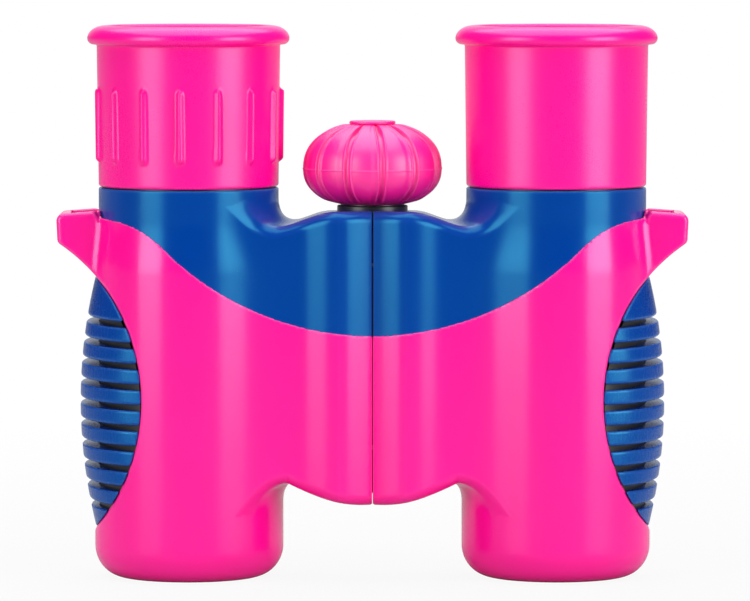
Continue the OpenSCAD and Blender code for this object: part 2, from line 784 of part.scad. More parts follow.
// Sloping groove that the cam pin runs in
module cam_groove() {
    reach = eye_tube_r + 1.2;
    half = cam_pin_r + 0.2;
    slope = atan(dioptre_travel / (reach * sin(dioptre_angle)));
    side = reach * sin(dioptre_angle) + cam_pin_r + 0.3;
    intersection() {
        up(cam_z) rotate([0, -slope, 0]) translate([-side, 0, -half]) cube([2 * side, 30, 2 * half]);
        cylinder(r = reach, h = 100, $fn = 96);
    }
}

// Hinge and focusing drive on the fold axis
module hinge_pin() color(steel) ring(pin_r, hinge_shank_r + seat_fit, hinge_low, hinge_low + pin_len);
module hinge_bush() color(brass) ring(bush_r, shaft_r + run_fit, bush_low, bearing_top);
module hinge_washers() color(brass) {
    ring(drum_r - 1, bush_r + free_gap, top_knuckle_low - washer_t, top_knuckle_low);
    ring(drum_r - 1, pin_r + free_gap, low_knuckle_top, low_knuckle_top + washer_t);
}
module hinge_screw() color(steel) {
    difference() {
        union() {
            up(hinge_low - hinge_screw_h) cylinder(r = hinge_screw_r, h = hinge_screw_h, $fn = 64);
            up(hinge_low - 0.1) cylinder(r = hinge_shank_r, h = screw_len, $fn = 48);
        }
        up(hinge_low - hinge_screw_h) cube([3 * hinge_screw_r, slot_cut, hinge_screw_h], center = true);
    }
}
module bearing_collar() color(black) ring(bearing_r, bush_r + seat_fit, top_knuckle_top, bearing_top);
module focus_shaft() color(steel) {
    difference() {
        up(shaft_low) cylinder(r = shaft_r, h = hub_top - shaft_low, $fn = 96);
        ring(shaft_r + 1, clip_groove_r, clip_low, clip_low + clip_t);
        up(hub_top - screw_len - 1) cylinder(r = knob_shank_r + seat_fit, h = 2 * screw_len, $fn = 48);
    }
}
module shaft_clip() color(steel) {
    difference() {
        ring(clip_r, clip_groove_r + seat_fit, clip_low + 0.03, clip_low + clip_t - 0.03);
        translate([0, -1.5, clip_low - 1]) cube([10, 3, 3]);
    }
}
module focus_nut() color(brass) {
    difference() {
        union() {
            up(nut_low) cylinder(r = nut_r, h = nut_top - nut_low, $fn = 96);
            up(nut_low) cylinder(r = nut_flange_r, h = nut_flange_t, $fn = 96);
        }
        up(nut_low - 1) cylinder(r = shaft_r + run_fit, h = 20, $fn = 96);
    }
}
module nut_keeper() color(brass) ring(nut_flange_r, nut_r + seat_fit, keeper_ring_low, nut_top);

// Focusing arm from the nut to the objective carriage
module focus_arm(low, bore) {
    difference() {
        union() {
            translate([axis_half, 0, low]) cylinder(r = arm_ring_r, h = arm_t, $fn = 96);
            translate([carriage_bore_r + 0.2, -arm_half, low]) {
                cube([axis_half - carriage_bore_r - 0.2, 2 * arm_half, arm_t]);
            }
        }
        translate([axis_half, 0, low - 1]) cylinder(r = bore, h = arm_t + 2, $fn = 96);
    }
}
module left_focus_arm() on_left() color(steel) focus_arm(left_arm_low, nut_r + seat_fit);
module right_focus_arm() on_right() color(steel) focus_arm(right_arm_low, nut_r + run_fit);

// Objective carriage with its lens and retaining ring
module carriage(arm_low) {
    difference() {
        up(carriage_low) cylinder(r = inner_r, h = carriage_top - carriage_low, $fn = 96);
        up(carriage_low - 1) cylinder(r = carriage_bore_r, h = objective_seat + 1, $fn = 96);
        cylinder(r = objective_clear_r, h = 100, $fn = 96);
        up(objective_seat_z + 1.2) cylinder(r = carriage_bore_r, h = 60, $fn = 96);
        translate([0, -arm_half - seat_fit, arm_low - seat_fit]) {
            cube([20, 2 * (arm_half + seat_fit), arm_t + 2 * seat_fit]);
        }
    }
}
module left_objective_carriage() on_left() color(black) carriage(left_arm_low);
module right_objective_carriage() on_right() color(black) carriage(right_arm_low);
// Lens with both faces curved
module lens(radius, middle, edge, curve) {
    sag = curve - sqrt(curve * curve - radius * radius);
    intersection() {
        up(middle - edge) cylinder(r = radius, h = 2 * edge, $fn = 96);
        up(middle - edge / 2 - sag + curve) sphere(r = curve, $fn = 120);
        up(middle + edge / 2 + sag - curve) sphere(r = curve, $fn = 120);
    }
}
objective_r = carriage_bore_r - seat_fit;
// Rise of the curved lens faces inside the seat and inside the retaining rings
function sag_at(radius, curve) = curve - sqrt(curve * curve - radius * radius);
objective_mid = objective_seat_z - objective_edge / 2 - sag_at(objective_r, objective_curve)
    + sag_at(objective_clear_r, objective_curve) - 0.02;
objective_ring_top = objective_mid - objective_edge / 2 - sag_at(objective_r, objective_curve)
    + sag_at(objective_clear_r, objective_curve) - 0.02;
module objective_lens_shape() color(glass) lens(objective_r, objective_mid, objective_edge, objective_curve);
module objective_ring_shape() {
    low = objective_ring_top - objective_ring_t;
    color(black) ring(objective_r, objective_clear_r, low, objective_ring_top);
}
module left_objective_lens() on_left() objective_lens_shape();
module right_objective_lens() on_right() objective_lens_shape();
module left_objective_ring() on_left() objective_ring_shape();
module right_objective_ring() on_right() objective_ring_shape();

// Ocular cell with eye lens, field lens and retaining ring
eye_seat_z = cell_top - 4.6;
field_seat_z = cell_low + 3.6;
ocular_r = cell_bore_r - seat_fit;
ocular_sag = sag_at(ocular_r, eye_curve) - sag_at(ocular_clear_r, eye_curve);
eye_lens_mid = eye_seat_z + ocular_edge / 2 + ocular_sag + 0.02;
field_lens_mid = field_seat_z - ocular_edge / 2 - ocular_sag - 0.02;
ocular_ring_low = eye_lens_mid + ocular_edge / 2 + ocular_sag + 0.02;
module ocular_cell_shape(outer) {
    difference() {
        up(cell_low) cylinder(r = outer, h = cell_top - cell_low, $fn = 96);
        up(cell_low - 1) cylinder(r = cell_bore_r, h = field_seat_z - cell_low + 1, $fn = 96);
        up(cell_low - 1) cylinder(r = ocular_clear_r, h = 60, $fn = 96);
        up(eye_seat_z) cylinder(r = cell_bore_r, h = 60, $fn = 96);
    }
}
module left_ocular_cell() on_left() color(black) {
    difference() {
        ocular_cell_shape(eye_bore_r - run_fit);
        up(cam_z) rotate([-90, 0, 0]) cylinder(r = cam_pin_r + seat_fit, h = 20, $fn = 48);
    }
}
module right_ocular_cell() on_right() color(black) ocular_cell_shape(eye_bore_r - seat_fit);
module eye_lens_shape() color(glass) lens(ocular_r, eye_lens_mid, ocular_edge, eye_curve);
module field_lens_shape() color(glass) lens(ocular_r, field_lens_mid, ocular_edge, eye_curve);
module ocular_ring_shape() color(black) ring(ocular_r, ocular_clear_r, ocular_ring_low, cell_top);
module left_eye_lens() on_left() eye_lens_shape();
module right_eye_lens() on_right() eye_lens_shape();
module left_field_lens() on_left() field_lens_shape();
module right_field_lens() on_right() field_lens_shape();
module left_ocular_ring() on_left() ocular_ring_shape();
module right_ocular_ring() on_right() ocular_ring_shape();
module dioptre_pin() on_left() color(steel) {
    translate([0, ocular_clear_r + 0.3, cam_z]) rotate([-90, 0, 0]) {
        cylinder(r = cam_pin_r, h = eye_tube_r - ocular_clear_r + 0.6, $fn = 48);
    }
}

// Rubber eyecup: sleeve, shoulder on its ring, open cup and rolled lip
lip_mid = cup_top - lip_h / 2;
module eyecup_shape() {
    lip_in = sleeve_top_r + 0.1;
    lip_out = [for (a = [-80:20:80]) [
        lip_in + (lip_r - lip_in) * pow(cos(a), 0.8), lip_mid + lip_h / 2 * sin(a) / sin(80)
    ]];
    rotate_extrude($fn = 96) {
        polygon(concat(
            [[cup_ring_r + seat_fit, cup_low], [sleeve_low_r - 0.5, cup_low], [sleeve_low_r, cup_low + 0.5]],
            [[sleeve_top_r, lip_mid - lip_h / 2 - 0.4]],
            lip_out,
            [[cup_bore_r + 0.9, cup_top], [cup_bore_r + 0.2, cup_top - 0.4], [cup_bore_r, cup_top - 1.2]],
            [[cup_bore_r, cup_ring_top + seat_fit], [cup_ring_r + seat_fit, cup_ring_top + seat_fit]]
        ));
    }
}
module right_eyecup() on_right() color(pink) eyecup_shape();
module left_eyecup() on_left() color(pink) {
    eyecup_shape();
    for (i = [0:rib_n - 1]) {
        rotate([0, 0, rib_turn - 90 + i * 360 / rib_n]) {
            translate([sleeve_low_r + rib_proud - rib_r, 0, rib_low]) rib();
        }
    }
}
module rib() {
    up(rib_r) cylinder(r = rib_r, h = rib_len - 2 * rib_r, $fn = 24);
    cylinder(r1 = rib_r * 0.45, r2 = rib_r, h = rib_r, $fn = 24);
    up(rib_len - rib_r) cylinder(r1 = rib_r, r2 = rib_r * 0.45, h = rib_r, $fn = 24);
}

// Focusing knob
function knob_side(inset, a) =
    let (
        tall = a > 0 ? knob_up : knob_down,
        round_r = pow(cos(a), 2 / knob_power),
        round_z = pow(abs(sin(a)), 2 / knob_power)
    )
    [(knob_r - inset) * round_r, knob_mid + (a > 0 ? 1 : -1) * (tall - inset) * round_z];
knob_top_a = 78;
knob_low_a = asin(pow((knob_mid - knob_low) / knob_down, knob_power / 2));
knob_angles = concat([for (i = [0:6]) -knob_low_a * (1 - i / 6.5)], [for (i = [1:8]) knob_top_a * i / 8]);
module focus_knob() color(pink) {
    difference() {
        rotate_extrude($fn = 96) {
            polygon(concat(
                [[hub_r + seat_fit, knob_low]],
                [for (a = knob_angles) knob_side(0, a)],
                [[0, knob_side(0, knob_top_a)[1]], [0, hub_top + seat_fit]],
                [[hub_r + seat_fit, hub_top + seat_fit]]
            ));
        }
        for (i = [0:flute_n - 1]) rotate([0, 0, flute_turn + i * 360 / flute_n]) flute();
        up(hub_top) cylinder(r = knob_screw_r + 0.4, h = knob_up + 4, $fn = 64);
    }
}
module flute() {
    through_y(flute_w) polygon(concat(
        [[knob_side(flute_d, -knob_low_a * 0.98)[0], knob_low - 3]],
        [for (i = [0:4]) knob_side(flute_d, -knob_low_a * 0.98 * (1 - i / 5))],
        [for (i = [1:5]) knob_side(flute_d, 64 * i / 5)],
        [[knob_side(flute_d, 64)[0], knob_mid + knob_up + 4]],
        [[2 * knob_r, knob_mid + knob_up + 4], [2 * knob_r, knob_low - 3]]
    ));
}
module knob_hub() color(black) {
    difference() {
        up(knob_low) cylinder(r = hub_r, h = hub_top - knob_low, $fn = 96);
        up(knob_low - 1) cylinder(r = shaft_r + seat_fit, h = hub_top - knob_low + 2, $fn = 96);
    }
}
module knob_screw() color(steel) {
    difference() {
        union() {
            up(hub_top) cylinder(r = knob_screw_r, h = knob_head_h, $fn = 64);
            up(hub_top - screw_len) cylinder(r = knob_shank_r, h = screw_len + 1, $fn = 48);
        }
        for (a = [0, 90]) rotate([0, 0, a]) {
            up(hub_top + knob_head_h) cube([knob_screw_r, slot_cut, knob_head_h], center = true);
        }
    }
}
module knob_cap() color(pink) {
    top = knob_side(0, knob_top_a)[1];
    up(top) cylinder(r = cap_r, h = cap_h, $fn = 72);
    up(hub_top + knob_head_h + 0.05) {
        cylinder(r = knob_screw_r + 0.35, h = top - hub_top - knob_head_h + 0.05, $fn = 64);
    }
}

left_chassis();
left_upper_shell();
left_armour();
left_grip();
left_hood_ring();
left_prism_cage();
left_roof_prism();
left_half_prism();
left_field_stop();
left_eyepiece_tube();
left_ring_keeper();
hinge_pin();
hinge_bush();
hinge_washers();
hinge_screw();
bearing_collar();
left_objective_carriage();
left_objective_lens();
left_objective_ring();
left_focus_arm();
focus_nut();
nut_keeper();
dioptre_ring();
left_eyecup();
left_ocular_cell();
left_eye_lens();
left_field_lens();
left_ocular_ring();
dioptre_pin();
right_chassis();
right_upper_shell();
right_armour();
right_grip();
right_hood_ring();
right_prism_cage();
right_roof_prism();
right_half_prism();
right_field_stop();
right_eyepiece_tube();
right_ring_keeper();
right_cup_ring();
right_eyecup();
right_ocular_cell();
right_eye_lens();
right_field_lens();
right_ocular_ring();
right_objective_carriage();
right_objective_lens();
right_objective_ring();
right_focus_arm();
focus_knob();
knob_hub();
focus_shaft();
knob_screw();
knob_cap();
shaft_clip();
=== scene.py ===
"""Toy binoculars: the visible skins, finishes and studio round the CAD frame."""
import math

import bpy
import numpy as np
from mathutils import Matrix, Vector


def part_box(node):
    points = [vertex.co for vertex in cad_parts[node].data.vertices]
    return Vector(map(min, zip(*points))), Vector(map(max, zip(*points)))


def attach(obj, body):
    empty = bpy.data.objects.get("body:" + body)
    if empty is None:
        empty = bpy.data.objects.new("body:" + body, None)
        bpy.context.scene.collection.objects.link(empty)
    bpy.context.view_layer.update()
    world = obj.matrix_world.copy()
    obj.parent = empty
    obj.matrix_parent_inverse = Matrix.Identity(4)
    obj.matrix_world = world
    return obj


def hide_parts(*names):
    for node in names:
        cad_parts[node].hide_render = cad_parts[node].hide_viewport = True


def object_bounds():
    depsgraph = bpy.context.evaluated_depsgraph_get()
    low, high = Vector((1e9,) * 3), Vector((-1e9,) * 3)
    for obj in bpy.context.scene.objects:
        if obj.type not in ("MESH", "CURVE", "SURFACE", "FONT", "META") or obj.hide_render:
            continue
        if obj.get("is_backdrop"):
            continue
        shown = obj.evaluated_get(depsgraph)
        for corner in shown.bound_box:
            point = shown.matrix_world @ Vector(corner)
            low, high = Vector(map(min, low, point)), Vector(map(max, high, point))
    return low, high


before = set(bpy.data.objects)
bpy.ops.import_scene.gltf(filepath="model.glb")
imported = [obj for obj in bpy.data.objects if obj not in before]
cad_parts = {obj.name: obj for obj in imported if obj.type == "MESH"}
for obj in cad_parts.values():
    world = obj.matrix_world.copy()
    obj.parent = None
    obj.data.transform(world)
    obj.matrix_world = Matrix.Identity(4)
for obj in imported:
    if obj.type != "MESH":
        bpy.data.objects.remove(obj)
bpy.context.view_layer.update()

MM = 0.001

# Sizes in mm, as in the part's source. Each half is drawn with its barrel on the z axis and the
# fold axis at x = AXIS_HALF.
AXIS_HALF = 32.3
FOLD_ANGLE = 80.0
BARREL_R = 16.4
EDGE_STEP = 0.2
COLLAR_R = 15.8
COLLAR_TOP = 68.6
COLLAR_LOW = 63.0
SHOULDER_Z = 54.0
FOOT_R = 11.3
FOOT_H = 5.6
FOOT_POWER = 2.0
FOOT_BORE_R = 11.05
FOOT_FLOOR = 1.0
HOOD_SEAT_R = 12.8
SKIN_BORE_R = 14.3
TUBE_LOW = 5.6
LEAST_FOOT = 1e-3
LEAST_STEEP = 0.05

# Bridge
VALLEY_AT = 17.5
VALLEY_H = 12.05
CLIMB_FROM = 18.8
CREST_AT = 26.4
CREST_H = 13.85
SEAM_H = 11.05
SEAM_POWER = 1.6
FALL_END = 1.3
ROOT_SWEEP = 0.98
FACE_STEP = 0.05
WEB_ROUND = 2.0
ROOT_ROUND = -1.1
ROOT_ROUND_FROM = 7.0
ROOT_ROUND_SPAN = 11.0
WEB_TOP = 64.2
WEB_DIP = 3.0
EDGE_LIFT = 0.7
CROWN_SHARE = 0.75
DIP_AT = 14.0
WEB_LOW = 13.6
ARCH_TOP = 17.5
ARCH_BEND = 0.06
SEAM_GAP = 0.24
ARMOUR_SEAM_GAP = 0.12
COLLAR_GAP = 0.15
HINGE_BORE_R = 9.1
BEARING_HOLE_R = 6.5
ROOF_LOW = 62.2
NECK_AT = 12.3
NECK_H = 7.8
NECK_LOW = 18.6
NECK_TOP = 60.2
WEDGE_SPARE = 0.5
WEDGE = math.radians(FOLD_ANGLE / 2 + WEDGE_SPARE)

# Line between blue and pink
LINE_SEAM_Z = 42.4
LINE_LOW_R = 51.0
LINE_TOP_R = 17.0
LINE_SLOPE = math.radians(45.8)
LINE_END = math.radians(4)
LINE_RISE = 0.02
FRONT_RISE = 0.0664

# Strap lug
LUG_REACH = 23.1
LUG_TOP = 64.6
LUG_NOTCH = 1.7
NOTCH_AT = 16.6
NOTCH_FRONT = 4.2
NOTCH_SOFT = 1.4
LUG_HALF = 6.3
LUG_ROUND = 1.3
LUG_EDGE = 0.8
LUG_ROOT = -10.0
LUG_LOW = 40.0
LUG_TAPER = 0.05
LUG_TILT = 0.07
SLOT_AT = -18.4
SLOT_W = 4.6
SLOT_HALF = 4.5

# Grip
GRIP_ARC_R = 33.5
GRIP_Z = 30.9
GRIP_EDGE = 7.9
GRIP_BULGE = 2.7
GRIP_HALF = 22.0
GRIP_SHIFT = 1.55
GRIP_CLEAR = 0.03
SADDLE_R = 15.73
GROOVE_N = 10
GROOVE_PITCH = 3.59
GROOVE_W = 1.05
GROOVE_FIRST = 45.7
GROOVE_TILT = math.radians(2.5)
GROOVE_BACK = 9.0

# Eyecups
CUP_LOW = 69.1
SKIRT_LOW = 68.82
SKIRT_R = 15.12
SKIRT_ROUND = 0.45
CUP_RING_R = 14.23
CUP_RING_TOP = 88.33
CUP_BORE_R = 13.6
CUP_TOP = 97.0
SLEEVE_LOW_R = 15.8
SLEEVE_TOP_R = 16.1
LIP_LOW = 93.4
LIP_R = 17.74
LIP_MID = 94.75
LIP_UNDER = 1.05
LIP_IN = 14.5
LIP_ROUND = 0.35
RIB_N = 15
RIB_LOW = 73.1
RIB_HIGH = 86.0
RIB_PROUD = 0.8
RIB_TURN = math.radians(-93.5)
RIB_TOP_W = 0.54
RIB_LOW_W = 0.74
RIB_FULLNESS = 0.8
SLEEVE_WALL = 1.0
CUP_STEP = 0.34
RIBBED_COLUMNS = 330
PLAIN_COLUMNS = 160

# Sweeps of the eyecup's arcs: start and stop in degrees, number of points
SKIRT_SWEEP = (-80, 0, 7)
LIP_ROOT_SWEEP = (180, 110, 6)
LIP_UNDER_SWEEP = (-80, 0, 12)
LIP_OVER_SWEEP = (0, 88, 22)
LIP_IN_SWEEP = (90, 180, 8)

# Focusing knob
KNOB_R = 12.1
KNOB_MID = 71.9
KNOB_UP = 8.0
KNOB_DOWN = 6.8
KNOB_POWER = 2.3
KNOB_SWEEPS = ((-64.4, -5, 26), (-3, 3, 19), (5, 79, 34))
FLUTE_N = 12
FLUTE_D = 0.28
FLUTE_FLAT = 0.3
FLUTE_SIDE = 0.28
FLUTE_END = 1.6
FLUTE_END_FROM = 5.4
FLUTE_END_SPAN = 1.6
FLUTE_TURN = math.radians(-81.5)
FLUTE_ROOM = 2.0
FLUTE_MARKS = (0.3, 0.46, 0.58, 0.66, 0.74, 0.86, 1.1, 1.5)
RIDGE_H = 0.24
RIDGE_AT = 0.66
RIDGE_W = 0.09
# Strength of the painted highlight on the flute ridges
RIDGE_PAINTED_HIGHLIGHT = 5.0
LOBE_H = 0.2
LOBE_SINK = 0.1
LOBE_FROM = 0.5
LOBE_POINTS = 9
PARTING_H = 0.1
PARTING_W = 0.12
# Strength of the painted highlight on the parting line
PARTING_PAINTED_HIGHLIGHT = 10.0
LOW_FADE = 1.2
TOP_FADE = 0.5
HUB_R = 5.65
HUB_TOP = 76.0
CAP_R = 4.05
CAP_LOW = 79.7
CAP_H = 0.55
CAP_LEDGE = 1.4
CAP_LOW_ROUND = 0.2
CAP_LOW_SWEEP = (-90, 0, 5)
CAP_TOP_ROUND = 0.28
CAP_TOP_SWEEP = (0, 84, 7)
CAP_DOME = 0.06
CAP_RINGS = (0.8, 0.6, 0.4, 0.2, 0)
CAP_COLUMNS = 96
BEARING_TOP = 65.44
BEARING_BORE_R = 5.03
BEARING_ROUND = 0.2
BEARING_SWEEP = (0, 90, 6)
BEARING_STEP = 0.5
BEARING_COLUMNS = 120

# Edge rounding of the skins
LINE_ROUND = 0.15
SEAM_ROUND = 0.1
SHELL_LAP = 0.35
SHELL_ROUND = 0.05
GRIP_ROUND = 0.35
TOP_ROUND = 0.25
SLOT_ROUND = 0.45
RIB_UNDER_ROUND = 0.55
RIB_OVER_ROUND = 0.25
LUG_FILLET = 2.2
TOP_FILLET = 4.8
ARCH_FILLET = 4.0
WEB_ROOT = 3.0
ROOT_SINK = 0.1

# Grids from which the skins are drawn: lowest corner, highest corner, cell
ARMOUR_GRID = ((-24, -18, -0.7), (33, 18, 66.5), 0.39)
SHELL_GRID = ((-17.5, -18, 40), (33, 18, 69.5), 0.32)
GRIP_GRID = ((-20, -18.5, 8), (-6.5, 18.5, 54), 0.3)
SETTLE_PASSES = 3
SETTLE_STEP = 0.02
LEAST_SLOPE = 0.2
LEAN_STEP = 0.06
LEAST_LEAN = 1e-6
BEND_STEP = 0.25
BEND_FULL = 3.0


def smooth(t):
    """0 below 0, 1 above 1, and an easy bend between."""
    t = np.clip(t, 0, 1)
    return t * t * (3 - 2 * t)


def rounded(a, b, r):
    """The space that two forms share, its edge rounded to r."""
    corner = np.hypot(np.maximum(a + r, 0), np.maximum(b + r, 0))
    return np.minimum(np.maximum(a, b), -r) + corner


def joined(a, b, k):
    """Two forms run into each other with a fillet of about k."""
    h = np.clip(0.5 + 0.5 * (b - a) / k, 0, 1)
    return b + (a - b) * h - k * h * (1 - h)


def barrel_wide(z, proud):
    """Radius of the barrel above its foot, which narrows to the collar."""
    narrow = smooth((z - SHOULDER_Z) / (COLLAR_LOW - SHOULDER_Z))
    return BARREL_R + proud - (BARREL_R - COLLAR_R) * narrow


def barrel(x, y, z, proud):
    """Round barrel with its rolled foot and narrower collar."""
    span = barrel_wide(z, proud) - FOOT_R
    out = np.maximum(np.hypot(x, y) - FOOT_R, 0) / span
    down = np.maximum(FOOT_H - z, 0) / FOOT_H
    size = np.maximum((out ** FOOT_POWER + down ** FOOT_POWER) ** (1 / FOOT_POWER), LEAST_FOOT)
    lean = (out / size) ** (FOOT_POWER - 1) / span
    drop = (down / size) ** (FOOT_POWER - 1) / FOOT_H
    side = (size - 1) / np.maximum(np.hypot(lean, drop), LEAST_STEEP)
    return rounded(side, z - COLLAR_TOP, TOP_ROUND)


def web_half(u, wide, valley):
    """Half the bridge's thickness at u from the axis of a barrel this wide, tangent to the barrel."""
    root_r = (VALLEY_AT ** 2 - wide ** 2 + valley ** 2) / (2 * (wide - valley))
    tangent = VALLEY_AT * wide / (wide + root_r)
    back = np.clip(VALLEY_AT - u, 0, root_r * ROOT_SWEEP)
    root = valley + root_r - np.sqrt(root_r ** 2 - back ** 2)
    climb = np.clip((u - CLIMB_FROM) / (CREST_AT - CLIMB_FROM), 0, 1)
    crest = valley + (CREST_H - VALLEY_H) * (1 - np.cos(math.pi * climb)) / 2
    fall = np.clip((u - CREST_AT) / (AXIS_HALF - CREST_AT), 0, FALL_END) ** SEAM_POWER
    inside = np.sqrt(wide ** 2 - np.clip(u, 0, tangent) ** 2) - ROOT_SINK * (tangent - u) ** 2
    half = np.where(u < VALLEY_AT, root, crest - (CREST_H - SEAM_H) * fall)
    return np.where(u < tangent, inside, half)


def web_dip(u):
    """How far the bridge's front top edge lies below its crown."""
    near = WEB_DIP - ARCH_BEND * np.maximum(DIP_AT - u, 0) ** 2
    turn = np.clip((u - DIP_AT) / (CREST_AT - DIP_AT), 0, 1)
    return np.where(u < DIP_AT, near, WEB_DIP * (1 + np.cos(math.pi * turn)) / 2)


def web_base(u):
    """Height of the arch under the bridge."""
    near = ARCH_TOP - ARCH_BEND * np.maximum(VALLEY_AT - u, 0) ** 2
    share = np.clip((AXIS_HALF - u) / (AXIS_HALF - VALLEY_AT), 0, 1)
    return np.where(u < VALLEY_AT, near, WEB_LOW + (ARCH_TOP - WEB_LOW) * share ** 2)


def half_body(x, y, z, proud):
    """Barrel and bridge in one flowing form, with wide fillets over and under the bridge."""
    wide = barrel_wide(z, proud)
    half = web_half(x, wide, VALLEY_H + proud)
    slope = (web_half(x + FACE_STEP, wide, VALLEY_H + proud) - half) / FACE_STEP
    face = (np.abs(y) - half) / np.sqrt(1 + slope ** 2)
    across = np.minimum(np.abs(y) / (half - WEB_ROUND), 1)
    dip = web_dip(x)
    crown = CROWN_SHARE * dip
    lift = np.where(y < 0, EDGE_LIFT, 0)
    top = z - WEB_TOP + crown + (dip - crown - lift) * across ** 2
    base = web_base(x) - proud - z
    bend = np.where(top > base, TOP_FILLET, ARCH_FILLET)
    round_form = barrel(x, y, z, proud)
    slab = joined(round_form, np.maximum(top, base), bend)
    near = 1 - smooth((x - ROOT_ROUND_FROM) / ROOT_ROUND_SPAN)
    bridge = rounded(slab, face, WEB_ROUND + ROOT_ROUND * near)
    bridge = np.maximum.reduce([bridge, WEB_ROOT - x, z - COLLAR_TOP])
    return np.minimum(round_form, bridge)


def above_line(x, y, z):
    """Signed distance from the line between the colours, which lies a little higher in front."""
    z = z - FRONT_RISE * np.abs(y)
    rise, run = math.sin(LINE_SLOPE), math.cos(LINE_SLOPE)
    turn_x = AXIS_HALF - LINE_LOW_R * rise
    turn_z = LINE_SEAM_Z + LINE_LOW_R * (1 - run)
    top_x = turn_x - LINE_TOP_R * rise
    top_z = turn_z - LINE_TOP_R * run
    end_x = top_x + LINE_TOP_R * math.sin(LINE_END)
    end_z = top_z + LINE_TOP_R * math.cos(LINE_END)
    low = LINE_LOW_R - np.hypot(x - AXIS_HALF, z - LINE_SEAM_Z - LINE_LOW_R)
    high = np.hypot(x - top_x, z - top_z) - LINE_TOP_R
    flat = z - end_z - LINE_RISE * (end_x - x)
    along = (x - turn_x) * run - (z - turn_z) * rise
    return np.where(x < end_x, flat, np.where(along > 0, low, high))


def past_seam(x, y, gap):
    """Distance past the fold seam, which opens into a wedge at the back."""
    over = x - AXIS_HALF + gap / 2
    return np.maximum(over, over * math.cos(WEDGE) + y * math.sin(WEDGE))


def hollow(x, y, z):
    """Room inside a half for its chassis and hinge."""
    bore = np.maximum(np.hypot(x, y) - SKIN_BORE_R, TUBE_LOW - z)
    hinge = np.hypot(x - AXIS_HALF, y)
    knuckle = np.maximum(hinge - HINGE_BORE_R, z - ROOF_LOW)
    neck = np.maximum.reduce([NECK_AT - x, np.abs(y) - NECK_H, NECK_LOW - z, z - NECK_TOP])
    return np.minimum.reduce([bore, knuckle, hinge - BEARING_HOLE_R, neck])


def lug(x, y, z):
    """Block beside the barrel that holds the strap slot."""
    out = LUG_TAPER * (LUG_TOP - z) - x - LUG_REACH
    notch = smooth((x + NOTCH_AT) / NOTCH_SOFT) * smooth((np.abs(y) - NOTCH_FRONT) / NOTCH_SOFT)
    top = z - LUG_TOP + LUG_TILT * np.maximum(-x - BARREL_R, 0) + LUG_NOTCH * notch
    block = rounded(rounded(out, top, LUG_ROUND), np.abs(y) - LUG_HALF, LUG_EDGE)
    return np.maximum.reduce([block, x - LUG_ROOT, LUG_LOW - z])


def past_grip(x, y, z):
    """Distance inside the round outline of the side grip."""
    return GRIP_ARC_R - np.hypot(x + GRIP_EDGE + GRIP_ARC_R, z - FRONT_RISE * np.abs(y) - GRIP_Z)


def armour_form(x, y, z):
    """Pink skin: foot, lower barrel, lower bridge and strap lug."""
    reach = np.hypot(x, y)
    line = above_line(x, y, z)
    form = rounded(half_body(x, y, z, EDGE_STEP), line, LINE_ROUND)
    form = joined(form, lug(x, y, z), LUG_FILLET)
    collar = np.maximum(reach - COLLAR_R - COLLAR_GAP, -line)
    form = rounded(form, -collar, LINE_ROUND)
    form = rounded(form, past_grip(x, y, z), GRIP_ROUND)
    form = rounded(form, past_seam(x, y, ARMOUR_SEAM_GAP), SEAM_ROUND)
    slot = np.maximum.reduce([np.abs(x - SLOT_AT) - SLOT_W / 2, np.abs(y) - SLOT_HALF, LUG_LOW - z])
    form = rounded(form, -slot, SLOT_ROUND)
    seat = np.where(z > FOOT_FLOOR, HOOD_SEAT_R - reach, FOOT_BORE_R - reach)
    return np.maximum.reduce([form, -hollow(x, y, z), seat])


def shell_form(x, y, z):
    """Blue skin: collar and upper bridge."""
    form = rounded(half_body(x, y, z, 0), -above_line(x, y, z) - SHELL_LAP, SHELL_ROUND)
    form = rounded(form, past_seam(x, y, SEAM_GAP), SEAM_ROUND)
    return np.maximum(form, -hollow(x, y, z))


def grip_form(x, y, z):
    """Ribbed side grip on the saddle."""
    rise = GRIP_BULGE * (1 - ((z - GRIP_Z) / GRIP_HALF) ** 2)
    shift = GRIP_SHIFT * rise
    form = np.hypot(x + shift, y) - (BARREL_R + rise - shift)
    form = rounded(form, GRIP_CLEAR - past_grip(x, y, z), GRIP_ROUND)
    level = z * math.cos(GROOVE_TILT) - y * math.sin(GROOVE_TILT)
    step = GROOVE_PITCH * math.cos(GROOVE_TILT)
    first = GROOVE_FIRST * math.cos(GROOVE_TILT)
    nearest = np.clip(np.round((first - level) / step), 0, GROOVE_N - 1)
    off = level - first + nearest * step
    groove = np.maximum(np.abs(off) - GROOVE_W / 2, y - GROOVE_BACK)
    form = rounded(form, -groove, np.where(off > 0, RIB_UNDER_ROUND, RIB_OVER_ROUND))
    return np.maximum(form, SADDLE_R - np.hypot(x, y))


def slope_of(form, p, e):
    """Steepness of a form at each point."""
    x, y, z = p.T
    return np.stack([form(x + e, y, z) - form(x - e, y, z),
                     form(x, y + e, z) - form(x, y - e, z),
                     form(x, y, z + e) - form(x, y, z - e)], 1) / (2 * e)


def bend_of(form, p, e):
    """How sharply a form turns outward at each point."""
    x, y, z = p.T
    around = (form(x + e, y, z) + form(x - e, y, z) + form(x, y + e, z)
              + form(x, y - e, z) + form(x, y, z + e) + form(x, y, z - e))
    return (around - 6 * form(x, y, z)) / e ** 2


